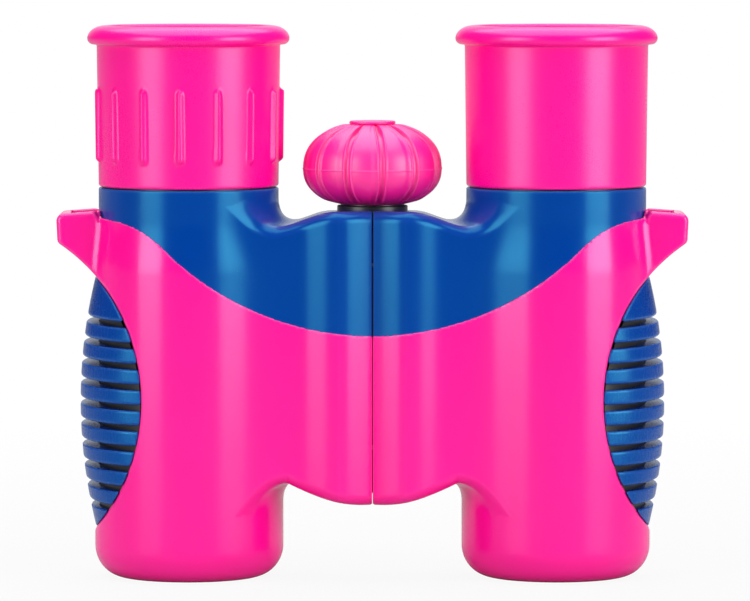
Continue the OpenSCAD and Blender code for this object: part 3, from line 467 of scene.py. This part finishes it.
def skin(form, low, high, step):
    """Points, outward directions, edge sharpness and quads of a form's surface, from a grid of cells."""
    axes = [np.arange(a, b + step, step) for a, b in zip(low, high)]
    values = form(*np.meshgrid(*axes, indexing="ij"))
    cells = tuple(n - 1 for n in values.shape)
    total = np.zeros(cells + (3,))
    count = np.zeros(cells)
    faces = []
    for axis in range(3):
        u, v = (axis + 1) % 3, (axis + 2) % 3
        ahead = np.take(values, range(1, values.shape[axis]), axis)
        here = np.take(values, range(values.shape[axis] - 1), axis)
        at = np.argwhere((here < 0) != (ahead < 0))
        a, b = here[tuple(at.T)], ahead[tuple(at.T)]
        spot = at.astype(float)
        spot[:, axis] += a / (a - b)
        ring = []
        for du, dv in ((1, 1), (0, 1), (0, 0), (1, 0)):
            cell = at.copy()
            cell[:, u] -= du
            cell[:, v] -= dv
            np.add.at(total, tuple(cell.T), spot)
            np.add.at(count, tuple(cell.T), 1)
            ring.append(np.ravel_multi_index(tuple(cell.T), cells))
        ring = np.stack(ring, 1)
        faces.append(np.where((a < 0)[:, None], ring, ring[:, ::-1]))
    used = np.flatnonzero(count.ravel())
    place = np.zeros(count.size, int)
    place[used] = np.arange(used.size)
    points = total.reshape(-1, 3)[used] / count.ravel()[used][:, None] * step + np.array(low)
    for _ in range(SETTLE_PASSES):
        lean = slope_of(form, points, SETTLE_STEP)
        move = form(*points.T) / np.maximum((lean ** 2).sum(1), LEAST_SLOPE)
        points = points - np.clip(move, -step, step)[:, None] * lean
    lean = slope_of(form, points, LEAN_STEP)
    lean /= np.maximum(np.linalg.norm(lean, axis=1, keepdims=True), LEAST_LEAN)
    wear_and_highlight_share = np.clip(bend_of(form, points, BEND_STEP) / BEND_FULL, 0, 1)
    return points, lean, wear_and_highlight_share, place[np.concatenate(faces)]


def piece(name, points, faces, finish, wear_and_highlight_share=None, lean=None):
    """A mesh object from points in mm."""
    mesh = bpy.data.meshes.new(name)
    mesh.from_pydata((np.asarray(points) * MM).tolist(), [], [list(map(int, f)) for f in faces])
    mesh.polygons.foreach_set("use_smooth", np.ones(len(mesh.polygons), bool))
    # Share of the paler colour per point: edge wear on the skins, a painted highlight on the knob's ridges
    if wear_and_highlight_share is not None:
        mesh.attributes.new("edge_wear_and_painted_highlight", "FLOAT", "POINT").data.foreach_set("value", wear_and_highlight_share)
    mesh.update()
    if lean is not None:
        mesh.normals_split_custom_set_from_vertices(lean.tolist())
    mesh.materials.append(finish)
    made = bpy.data.objects.new(name, mesh)
    bpy.context.scene.collection.objects.link(made)
    return made


def fit(made, body, node):
    """The piece rides on its body in place of its CAD node."""
    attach(made, body)
    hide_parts(node)
    return made


def both_halves(word, built, finish):
    """One skin for the left half and its mirror image for the right half."""
    points, lean, wear_and_highlight_share, faces = built
    left = points - [AXIS_HALF, 0, 0]
    flip = np.array([-1, 1, 1])
    made = piece(f"left_{word}_skin", left, faces, finish, wear_and_highlight_share, lean)
    fit(made, "left_half", f"left_{word}")
    made = piece(f"right_{word}_skin", left * flip, faces[:, ::-1], finish, wear_and_highlight_share, lean * flip)
    fit(made, "right_half", f"right_{word}")


def wrap(rows, columns):
    """Quads of a closed band of rows that runs round a closed loop."""
    here = np.arange(rows)[:, None] * columns
    ahead = (np.arange(rows)[:, None] + 1) % rows * columns
    spot = np.arange(columns)[None, :]
    side = (spot + 1) % columns
    return np.stack([here + spot, here + side, ahead + side, ahead + spot], -1).reshape(-1, 4)


def spaced(points, step):
    """A closed outline with points added until none are further apart than step."""
    dense = []
    for a, b in zip(points, points[1:] + points[:1]):
        n = max(1, math.ceil(math.dist(a, b) / step))
        dense += [(a[0] + (b[0] - a[0]) * i / n, a[1] + (b[1] - a[1]) * i / n) for i in range(n)]
    return np.array(dense)


def arc(centre, r, sweep, tall=None, with_end=True):
    """Points on an arc in the radius and height plane, taller or flatter than round where asked."""
    tall = r if tall is None else tall
    turns = np.radians(np.linspace(*sweep, endpoint=with_end))
    return [(centre[0] + r * math.cos(t), centre[1] + tall * math.sin(t)) for t in turns]


def spun(outline, columns):
    """Radius and height of each point of a section turned on the z axis, and the turns."""
    turns = np.linspace(0, 2 * math.pi, columns, endpoint=False)
    return np.repeat(outline[:, :1], columns, 1), np.repeat(outline[:, 1:], columns, 1), turns


def rings(r, z, turns):
    """Points of rings from their radius, height and turns."""
    return np.stack([r * np.cos(turns), r * np.sin(turns), z], -1)


def cup_outline():
    """Section of an eyecup: sleeve, rolled lip and bore."""
    points = [(CUP_RING_R, CUP_LOW), (SKIRT_R, CUP_LOW), (SKIRT_R, SKIRT_LOW)]
    points += arc((SLEEVE_LOW_R - SKIRT_ROUND, SKIRT_LOW + SKIRT_ROUND), SKIRT_ROUND, SKIRT_SWEEP)
    points += arc((SLEEVE_TOP_R + LIP_ROUND, LIP_LOW), LIP_ROUND, LIP_ROOT_SWEEP)
    points += arc((LIP_R - LIP_UNDER, LIP_MID), LIP_UNDER, LIP_UNDER_SWEEP, with_end=False)
    points += arc((LIP_IN, LIP_MID), LIP_R - LIP_IN, LIP_OVER_SWEEP, CUP_TOP - LIP_MID)
    wall = LIP_IN - CUP_BORE_R
    points += arc((LIP_IN, CUP_TOP - wall), wall, LIP_IN_SWEEP)
    points += [(CUP_BORE_R, CUP_RING_TOP), (CUP_RING_R, CUP_RING_TOP)]
    return points


def rib_swell(turn, z):
    """Height of the eyecup's grip ribs over the sleeve."""
    gap = 2 * math.pi / RIB_N
    off = (turn - RIB_TURN + gap / 2) % gap - gap / 2
    low = np.clip((RIB_HIGH - z) / (RIB_HIGH - RIB_LOW), 0, 1)
    half = RIB_TOP_W + (RIB_LOW_W - RIB_TOP_W) * low
    past = np.maximum(np.maximum(RIB_LOW + half - z, z - RIB_HIGH + half), 0)
    share = np.clip(np.hypot(off * SLEEVE_LOW_R, past) / half, 0, 1)
    return RIB_PROUD * (1 - share ** 2) ** RIB_FULLNESS


def eyecup(name, axis_x, columns, ribbed, finish):
    """Soft eyecup, with grip ribs where it turns."""
    outline = spaced(cup_outline(), CUP_STEP)
    r, z, turns = spun(outline, columns)
    outer = (r > CUP_RING_R + SLEEVE_WALL) & (z < LIP_LOW)
    if ribbed:
        r = r + np.where(outer, rib_swell(turns[None, :], z), 0)
    points = rings(r, z, turns).reshape(-1, 3) + [axis_x, 0, 0]
    return piece(name, points, wrap(len(outline), columns), finish)


def knob_outline():
    """Section of the knob's outside from its lower rim to its upper rim, with outward directions."""
    turns = np.radians(np.concatenate([np.linspace(*sweep) for sweep in KNOB_SWEEPS]))
    r = KNOB_R * np.cos(turns) ** (2 / KNOB_POWER)
    tall = np.where(turns > 0, KNOB_UP, KNOB_DOWN)
    z = KNOB_MID + np.sign(turns) * tall * np.abs(np.sin(turns)) ** (2 / KNOB_POWER)
    dr, dz = np.gradient(r), np.gradient(z)
    size = np.hypot(dr, dz)
    return r, z, dz / size, -dr / size


def knob(finish):
    """Fluted knob: twelve full lobes, narrow flutes with a fine raised edge, and a parting line."""
    r, z, out_r, out_z = knob_outline()
    marks = np.array(FLUTE_MARKS)
    near = np.concatenate([-marks[::-1], [0], marks])
    fill = np.linspace(0, 1, LOBE_POINTS)[1:-1]
    gap = 2 * math.pi / FLUTE_N
    turns, away, lobe = [], [], []
    for row in r:
        narrow = min(1.0, row * gap / 2 / FLUTE_ROOM)
        edge = near * narrow
        reach = edge[-1]
        width = row * gap
        one = np.concatenate([edge, reach + (width - 2 * reach) * fill])
        turns.append(np.concatenate([FLUTE_TURN + gap * i + one / row for i in range(FLUTE_N)]))
        off = np.minimum(np.abs(one), width - one) / narrow
        away.append(np.tile(off, FLUTE_N))
        lobe.append(np.tile(np.clip(np.abs(2 * one / width - 1), 0, 1), FLUTE_N))
    turns, away, lobe = map(np.array, (turns, away, lobe))
    deep = FLUTE_D * (1 + FLUTE_END * smooth((z - KNOB_MID - FLUTE_END_FROM) / FLUTE_END_SPAN))
    cut = -deep[:, None] * (1 - smooth((away - FLUTE_FLAT) / FLUTE_SIDE))
    ends = smooth((z - z[0]) / LOW_FADE) * smooth((z[-1] - z) / TOP_FADE)
    ridge = RIDGE_H * np.exp(-((away - RIDGE_AT) / RIDGE_W) ** 2)
    full = LOBE_H * (1 - lobe ** 2) - LOBE_SINK
    parting = PARTING_H * np.exp(-((z - KNOB_MID) / PARTING_W) ** 2)[:, None] * (away > LOBE_FROM)
    push = (cut + ridge + full) * ends[:, None] + parting
    r = r[:, None] + push * out_r[:, None]
    z = z[:, None] + push * out_z[:, None]
    rows = rings(r, z, turns)
    mouth = CAP_R - CAP_LEDGE
    inner = [(mouth, z[-1, 0]), (mouth, HUB_TOP), (HUB_R, HUB_TOP), (HUB_R, z[0, 0])]
    loops = [rings(ring_r, np.full(turns.shape[1], ring_z), turns[-1]) for ring_r, ring_z in inner]
    rows = np.concatenate([rows, np.stack(loops)])
    # Painted highlight: the raised flute edges and the parting line take the paler colour, as if lit from
    # above
    wear_and_highlight_share = np.zeros(rows.shape[:2])
    wear_and_highlight_share[:len(push)] = RIDGE_PAINTED_HIGHLIGHT * ridge * ends[:, None] + PARTING_PAINTED_HIGHLIGHT * parting
    return piece("focus_knob_skin", rows.reshape(-1, 3), wrap(*rows.shape[:2]), finish, wear_and_highlight_share.ravel())


def turned(outline, columns):
    """Points and faces of a solid disc turned from an outline that runs from one pole to the other."""
    ends = np.array([(0, 0, outline[0][1]), (0, 0, outline[-1][1])])
    rim = np.array(outline[1:-1])
    points = rings(*spun(rim, columns)).reshape(-1, 3)
    faces = wrap(len(rim), columns)[:-columns].tolist()
    first, last = len(points), len(points) + 1
    over = (len(rim) - 1) * columns
    for i in range(columns):
        side = (i + 1) % columns
        faces += [[first, side, i], [over + i, over + side, last]]
    return np.concatenate([points, ends]), faces


def knob_cap(finish):
    """Small disc on the knob's top, with a soft rim and a slight dome."""
    top = CAP_LOW + CAP_H
    outline = [(0, CAP_LOW), (CAP_R / 2, CAP_LOW)]
    outline += arc((CAP_R - CAP_LOW_ROUND, CAP_LOW + CAP_LOW_ROUND), CAP_LOW_ROUND, CAP_LOW_SWEEP)
    outline += arc((CAP_R - CAP_TOP_ROUND, top - CAP_TOP_ROUND), CAP_TOP_ROUND, CAP_TOP_SWEEP)
    outline += [(CAP_R * share, top + CAP_DOME * (1 - share ** 2)) for share in CAP_RINGS]
    return piece("knob_cap_skin", *turned(outline, CAP_COLUMNS), finish)


def bearing_collar(finish):
    """Black collar under the knob."""
    low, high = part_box("bearing_collar")
    foot = low.z / MM
    rim = high.x / MM
    outline = [(BEARING_BORE_R, foot), (rim, foot)]
    outline += arc((rim - BEARING_ROUND, BEARING_TOP - BEARING_ROUND), BEARING_ROUND, BEARING_SWEEP)
    outline += [(BEARING_BORE_R, BEARING_TOP)]
    outline = spaced(outline, BEARING_STEP)
    points = rings(*spun(outline, BEARING_COLUMNS)).reshape(-1, 3)
    return piece("bearing_collar_skin", points, wrap(len(outline), BEARING_COLUMNS), finish)


class Wire:
    """An output socket whose arithmetic adds Math nodes."""

    def __init__(self, sheet, socket):
        self.sheet = sheet
        self.socket = socket

    def math(self, kind, a, b):
        return self.sheet.node("ShaderNodeMath", {"operation": kind}, {0: a, 1: b})

    def __add__(self, other):
        return self.math("ADD", self, other)

    def __radd__(self, other):
        return self.math("ADD", other, self)

    def __sub__(self, other):
        return self.math("SUBTRACT", self, other)

    def __rsub__(self, other):
        return self.math("SUBTRACT", other, self)

    def __mul__(self, other):
        return self.math("MULTIPLY", self, other)

    def __rmul__(self, other):
        return self.math("MULTIPLY", other, self)

    def __pow__(self, other):
        return self.math("POWER", self, other)

    def clamped(self):
        """Held between 0 and 1."""
        return self.sheet.node("ShaderNodeClamp", sockets={"Value": self})


class Sheet:
    """A node tree that is filled from empty."""

    def __init__(self, tree):
        self.tree = tree
        tree.nodes.clear()

    def node(self, kind, settings=None, sockets=None, out=0):
        """A new node with its settings and sockets, as the wire from one of its outputs."""
        made = self.tree.nodes.new(kind)
        for name, value in (settings or {}).items():
            setattr(made, name, value)
        for name, value in (sockets or {}).items():
            if isinstance(value, Wire):
                self.tree.links.new(value.socket, made.inputs[name])
            else:
                made.inputs[name].default_value = value
        return Wire(self, made.outputs[out]) if made.outputs else made

    def mixed(self, share, a, b):
        """A colour between two, by the sockets of the Mix node that hold colours."""
        return self.node("ShaderNodeMix", {"data_type": "RGBA"}, {0: share, 6: a, 7: b}, 2)

    def place(self):
        """Position on the piece, in mm."""
        spot = self.node("ShaderNodeTexCoord", out="Object")
        return self.node("ShaderNodeVectorMath", {"operation": "SCALE"}, {0: spot, "Scale": 1 / MM})

    def noise(self, place, scale, detail):
        return self.node("ShaderNodeTexNoise", {}, {"Vector": place, "Scale": scale, "Detail": detail})

    def stretched(self, place, stretch):
        return self.node("ShaderNodeMapping", {}, {"Vector": place, "Scale": stretch})

    def ray(self, kind):
        """1 for rays of this kind, otherwise 0."""
        return self.node("ShaderNodeLightPath", out=f"Is {kind} Ray")

    def part(self, place, axis):
        """One of the three numbers of a place."""
        return self.node("ShaderNodeSeparateXYZ", {}, {"Vector": place}, axis)

    def bumped(self, height):
        """A surface direction from a height in mm."""
        return self.node("ShaderNodeBump", {}, {"Strength": 1.0, "Distance": MM, "Height": height})

    def surface(self, sockets):
        """The Principled shader with these sockets, as the finish's surface."""
        shader = self.node("ShaderNodeBsdfPrincipled", {}, sockets)
        self.node("ShaderNodeOutputMaterial", {}, {"Surface": shader})


def new_finish(name):
    """An empty finish and the sheet that fills it."""
    finish = bpy.data.materials.new(name)
    finish.use_nodes = True
    return finish, Sheet(finish.node_tree)


def linear(red, green, blue):
    """A screen colour of 0 to 255 as a shader colour."""
    def one(c):
        c = c / 255
        return c / 12.92 if c <= 0.04045 else ((c + 0.055) / 1.055) ** 2.4
    return (one(red), one(green), one(blue), 1.0)


# Finishes: noise scales per mm, depths in mm
CLOUD_SCALE = 0.07
CLOUD_DETAIL = 3.0
CLOUD_FROM = 0.35
CLOUD_SHARE = 0.9
CLOUD_GLOSS = 0.1
GRAIN_DETAIL = 2.0
GRAIN_GLOSS = 0.12
WAVE_DETAIL = 1.0
SCUFF_STRETCH = (6.0, 0.5, 0.35)
SCUFF_SCALE = 1.4
SCUFF_DETAIL = 3.0
SCUFF_POWER = 6.0
# Most of the paler colour on edges, for wear and for the knob's painted ridge highlight
WEAR_AND_HIGHLIGHT = 0.5
NOISE_MID = 0.5
TURNING_STRETCH = (0.4, 0.4, 9.0)
TURNING_SCALE = 1.0
TURNING_DETAIL = 3.0
TURNING_DEEP = 0.01
STAIN_SCALE = 0.5
STAIN_DETAIL = 4.0
STAIN_ROUGH = 0.15
DUST_SCALE = 1.6
DUST_DETAIL = 4.0
DUST_SHARE = 0.15
DUST_POWER = 4.0
DUST_ROUGH = 0.12
POLISH = 0.02
GLASS_SHINE = 0.7


def moulded(name, colours, rough, grain, wave, scuff, shine, cast):
    """Moulded plastic or rubber: mottled colour, fine grain, slow waves, paler edges, faint scuffs.

    colours are the body, its darker mottle, and a paler colour for edge wear and for the painted
    highlight on the knob's ridges and parting line. grain and wave are each a scale and a depth.
    """
    colour, shade, pale = colours
    finish, sheet = new_finish(name)
    place = sheet.place()
    cloud = sheet.noise(place, CLOUD_SCALE, CLOUD_DETAIL)
    fine = sheet.noise(place, grain[0], GRAIN_DETAIL)
    slow = sheet.noise(place, wave[0], WAVE_DETAIL)
    scratch = sheet.noise(sheet.stretched(place, SCUFF_STRETCH), SCUFF_SCALE, SCUFF_DETAIL)
    wear_and_highlight = sheet.node("ShaderNodeAttribute", {"attribute_name": "edge_wear_and_painted_highlight"}, out="Fac")
    body = sheet.mixed((cloud - CLOUD_FROM) * CLOUD_SHARE, colour, shade)
    # Paler colour by the per-point share: edge wear, and on the knob a painted highlight on ridges and the
    # parting line
    body = sheet.mixed(wear_and_highlight * fine * WEAR_AND_HIGHLIGHT, body, pale)
    gloss = rough + (fine - NOISE_MID) * GRAIN_GLOSS + (cloud - NOISE_MID) * CLOUD_GLOSS
    gloss = gloss + (scratch ** SCUFF_POWER) * scuff
    bump = sheet.bumped(fine * grain[1] + slow * wave[1])
    sheet.surface({"Base Color": body, "Roughness": gloss, "Normal": bump,
                   "Specular IOR Level": shine, "Specular Tint": cast})
    return finish


def turned_metal(name, colour, shade, rough):
    """Turned metal: fine rings from the tool, slight tarnish."""
    finish, sheet = new_finish(name)
    place = sheet.place()
    lines = sheet.noise(sheet.stretched(place, TURNING_STRETCH), TURNING_SCALE, TURNING_DETAIL)
    stain = sheet.noise(place, STAIN_SCALE, STAIN_DETAIL)
    sheet.surface({"Base Color": sheet.mixed(stain, colour, shade), "Metallic": 1.0,
                   "Roughness": rough + stain * STAIN_ROUGH, "Normal": sheet.bumped(lines * TURNING_DEEP)})
    return finish


def glass(name, colour, sheen, index):
    """Polished glass, its coating seen as a tinted reflection, with a trace of dust."""
    finish, sheet = new_finish(name)
    dust = sheet.noise(sheet.place(), DUST_SCALE, DUST_DETAIL)
    sheet.surface({"Base Color": sheet.mixed(dust * DUST_SHARE, colour, DUST),
                   "Roughness": POLISH + (dust ** DUST_POWER) * DUST_ROUGH, "IOR": index,
                   "Transmission Weight": 1.0, "Specular Tint": sheen, "Specular IOR Level": GLASS_SHINE})
    return finish


WHITE = (1.0, 1.0, 1.0, 1.0)
SKY = (0.12, 0.88, 1.0, 1.0)
BLUSH = (1.0, 0.68, 1.0, 1.0)
DUST = (0.8, 0.85, 0.9, 1.0)
# Colour sets: body, darker mottle, and the paler colour for edge wear and the knob's painted ridge
# highlight
PINKS = (linear(252, 2, 145), linear(246, 0, 139), linear(255, 120, 195))
BLUES = (linear(0, 56, 146), linear(0, 50, 138), linear(70, 120, 195))
BLACKS = (linear(34, 35, 40), linear(24, 25, 29), linear(92, 94, 102))
STEEL = (0.55, 0.56, 0.58, 1.0)
STEEL_SHADE = (0.42, 0.42, 0.43, 1.0)
BRASS = (0.75, 0.55, 0.24, 1.0)
BRASS_SHADE = (0.55, 0.38, 0.16, 1.0)
CROWN_GLASS = (0.93, 0.95, 1.0, 1.0)
COATING = (0.62, 0.45, 1.0, 1.0)
PRISM = (0.95, 1.0, 0.97, 1.0)

pink_armour = moulded("pink_armour", PINKS, rough=0.2, grain=(5.0, 0.0006), wave=(0.25, 0.008),
                      scuff=0.15, shine=0.66, cast=BLUSH)
pink_rubber = moulded("pink_rubber", PINKS, rough=0.29, grain=(6.0, 0.004), wave=(0.2, 0.01),
                      scuff=0.2, shine=0.66, cast=BLUSH)
pink_knob = moulded("pink_knob", PINKS, rough=0.42, grain=(5.0, 0.003), wave=(0.3, 0.008),
                    scuff=0.3, shine=1.0, cast=WHITE)
blue_plastic = moulded("blue_plastic", BLUES, rough=0.23, grain=(6.0, 0.001), wave=(0.3, 0.006),
                       scuff=0.15, shine=0.55, cast=SKY)
blue_rubber = moulded("blue_rubber", BLUES, rough=0.26, grain=(5.0, 0.002), wave=(0.3, 0.01),
                      scuff=0.3, shine=0.65, cast=SKY)
black_plastic = moulded("black_plastic", BLACKS, rough=0.34, grain=(4.0, 0.005), wave=(0.3, 0.01),
                        scuff=0.3, shine=0.5, cast=WHITE)
steel = turned_metal("steel", STEEL, STEEL_SHADE, rough=0.25)
brass = turned_metal("brass", BRASS, BRASS_SHADE, rough=0.28)
coated_glass = glass("coated_glass", CROWN_GLASS, COATING, index=1.52)
prism_glass = glass("prism_glass", PRISM, WHITE, index=1.57)

NODE_FINISHES = (
    (("_lens",), coated_glass),
    (("roof_prism", "half_prism"), prism_glass),
    (("focus_arm", "hinge_pin", "screw", "shaft", "dioptre_pin"), steel),
    (("bush", "washers", "focus_nut", "nut_keeper"), brass),
)


def finish_of(node):
    """The finish of a CAD node, by the words in its name."""
    for words, finish in NODE_FINISHES:
        if any(word in node for word in words):
            return finish
    return black_plastic


for node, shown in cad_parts.items():
    for place in shown.material_slots:
        place.material = finish_of(node)

both_halves("armour", skin(armour_form, *ARMOUR_GRID), pink_armour)
both_halves("upper_shell", skin(shell_form, *SHELL_GRID), blue_plastic)
both_halves("grip", skin(grip_form, *GRIP_GRID), blue_rubber)

fit(eyecup("left_eyecup_skin", -AXIS_HALF, RIBBED_COLUMNS, True, pink_rubber),
    "dioptre_ring", "left_eyecup")
fit(eyecup("right_eyecup_skin", AXIS_HALF, PLAIN_COLUMNS, False, pink_rubber),
    "right_half", "right_eyecup")
fit(knob(pink_knob), "focus_knob", "focus_knob")
fit(knob_cap(pink_knob), "focus_knob", "knob_cap")
fit(bearing_collar(black_plastic), "left_half", "bearing_collar")


# Studio, in metres and watts. Each side box has its turn in degrees from the front, width and power.
SIDE_BOXES = (("left", -48, 0.45, 7.4), ("right", 54, 0.5, 9.5))
SIDE_AWAY = 0.9
SIDE_Z = 0.12
SIDE_TALL = 0.9
SIDE_AIM = Vector((0, 0, 0.05))
TOP_PLACE = (0, 0.25, 0.9)
TOP_AIM = Vector((0, 0.2, 0))
TOP_WIDTH = 1.2
TOP_LENGTH = 1.5
TOP_POWER = 15.5
FLOOR_HALF = 4.0
FLOOR_DROP = 0.00002
PAPER = (0.44, 0.44, 0.44, 1.0)
PAPER_SHADE = (0.41, 0.41, 0.41, 1.0)
PAPER_SCALE = 0.02
PAPER_DETAIL = 2.0
PAPER_ROUGH = 0.8

# Share of white in the floor: near the piece and gained further out, by slopes and starts per mm
NEAR_WHITE = 0.92
FAR_WHITE = 0.08
FAR_SLOPE = 0.004
FAR_START = 0.3
EDGE_SLOPE = 0.002
EDGE_START = 3.0
BACK_SLOPE = 0.002

# Surround: fill light, and the white that shows in reflections behind and above the floor
FILL = 0.2
GLOSSY_CUT = 0.16
BEHIND_SLOPE = 5.0
BEHIND_START = 4.0
HIGH_SLOPE = 40.0
HIGH_START = 0.6

# Where the photo was taken from
VIEW_AWAY = 1.07
VIEW_DOWN = math.radians(3.8)
VIEW_MID = 0.0486
VIEW_SIDE = 0.00045
VIEW_LENS = 291.8
VIEW_SENSOR = 36.0
VIEW_END = 20.0


def lamp(name, place, aim, width, height, power):
    """A soft box that faces a point."""
    light = bpy.data.lights.new(name, "AREA")
    light.shape = "RECTANGLE"
    light.size = width
    light.size_y = height
    light.energy = power
    made = bpy.data.objects.new(name, light)
    made.location = place
    made.rotation_euler = (made.location - aim).to_track_quat("Z", "Y").to_euler()
    bpy.context.scene.collection.objects.link(made)


def lamps():
    """Two tall soft boxes in front and one overhead."""
    for word, turn, width, power in SIDE_BOXES:
        turn = math.radians(turn)
        spot = (SIDE_AWAY * math.sin(turn), -SIDE_AWAY * math.cos(turn), SIDE_Z)
        lamp(f"{word}_box", spot, SIDE_AIM, width, SIDE_TALL, power)
    lamp("top_box", TOP_PLACE, TOP_AIM, TOP_WIDTH, TOP_LENGTH, TOP_POWER)


def white_floor():
    """Pale paper under the piece, which the camera sees as white with a soft shadow."""
    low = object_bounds()[0].z - FLOOR_DROP
    corners = ((-1, -1), (1, -1), (1, 1), (-1, 1))
    mesh = bpy.data.meshes.new("floor")
    mesh.from_pydata([(x * FLOOR_HALF, y * FLOOR_HALF, low) for x, y in corners], [], [(0, 1, 2, 3)])
    floor = bpy.data.objects.new("floor", mesh)
    bpy.context.scene.collection.objects.link(floor)
    finish, sheet = new_finish("white_floor")
    place = sheet.place()
    fine = sheet.noise(place, PAPER_SCALE, PAPER_DETAIL)
    paper = sheet.node("ShaderNodeBsdfPrincipled", {}, {
        "Base Color": sheet.mixed(fine, PAPER, PAPER_SHADE), "Roughness": PAPER_ROUGH})
    glow = sheet.node("ShaderNodeEmission", {}, {"Color": WHITE, "Strength": 1.0})
    away = sheet.node("ShaderNodeVectorMath", {"operation": "LENGTH"}, {0: place}, "Value")
    far = (away * FAR_SLOPE - FAR_START).clamped()
    edge = (away * EDGE_SLOPE - EDGE_START).clamped()
    behind = (sheet.part(place, "Y") * BACK_SLOPE).clamped()
    seen = sheet.ray("Camera") + sheet.ray("Transmission")
    share = seen * (NEAR_WHITE + far * FAR_WHITE) + sheet.ray("Glossy") * edge * behind
    both = sheet.node("ShaderNodeMixShader", {}, {0: share, 1: paper, 2: glow})
    sheet.node("ShaderNodeOutputMaterial", {}, {"Surface": both})
    mesh.materials.append(finish)
    floor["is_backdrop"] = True


def surround():
    """White to the camera, and dim to the piece except behind it and above the floor."""
    world = bpy.data.worlds.new("studio")
    world.use_nodes = True
    bpy.context.scene.world = world
    sheet = Sheet(world.node_tree)
    ahead = sheet.node("ShaderNodeTexCoord", out="Generated")
    behind = (sheet.part(ahead, "Y") * BEHIND_SLOPE - BEHIND_START).clamped()
    high = (sheet.part(ahead, "Z") * HIGH_SLOPE - HIGH_START).clamped()
    glossy = sheet.ray("Glossy")
    white = (sheet.ray("Camera") + sheet.ray("Transmission") + glossy * behind * high).clamped()
    fill = FILL - glossy * GLOSSY_CUT
    back = sheet.node("ShaderNodeBackground", {}, {"Color": fill + white * (1 - fill), "Strength": 1.0})
    sheet.node("ShaderNodeOutputWorld", {}, {"Surface": back})


def viewpoint():
    """The camera, a little above the piece and far in front of it."""
    scene = bpy.context.scene
    camera = bpy.data.cameras.new("camera")
    camera.sensor_width = VIEW_SENSOR
    camera.lens = VIEW_LENS
    camera.clip_end = VIEW_END
    eye = bpy.data.objects.new("camera", camera)
    up = VIEW_MID + VIEW_AWAY * math.sin(VIEW_DOWN)
    eye.location = (VIEW_SIDE, -VIEW_AWAY * math.cos(VIEW_DOWN), up)
    eye.rotation_euler = (math.pi / 2 - VIEW_DOWN, 0, 0)
    scene.collection.objects.link(eye)
    scene.camera = eye
    scene.view_settings.view_transform = "Standard"


lamps()
white_floor()
surround()
viewpoint()
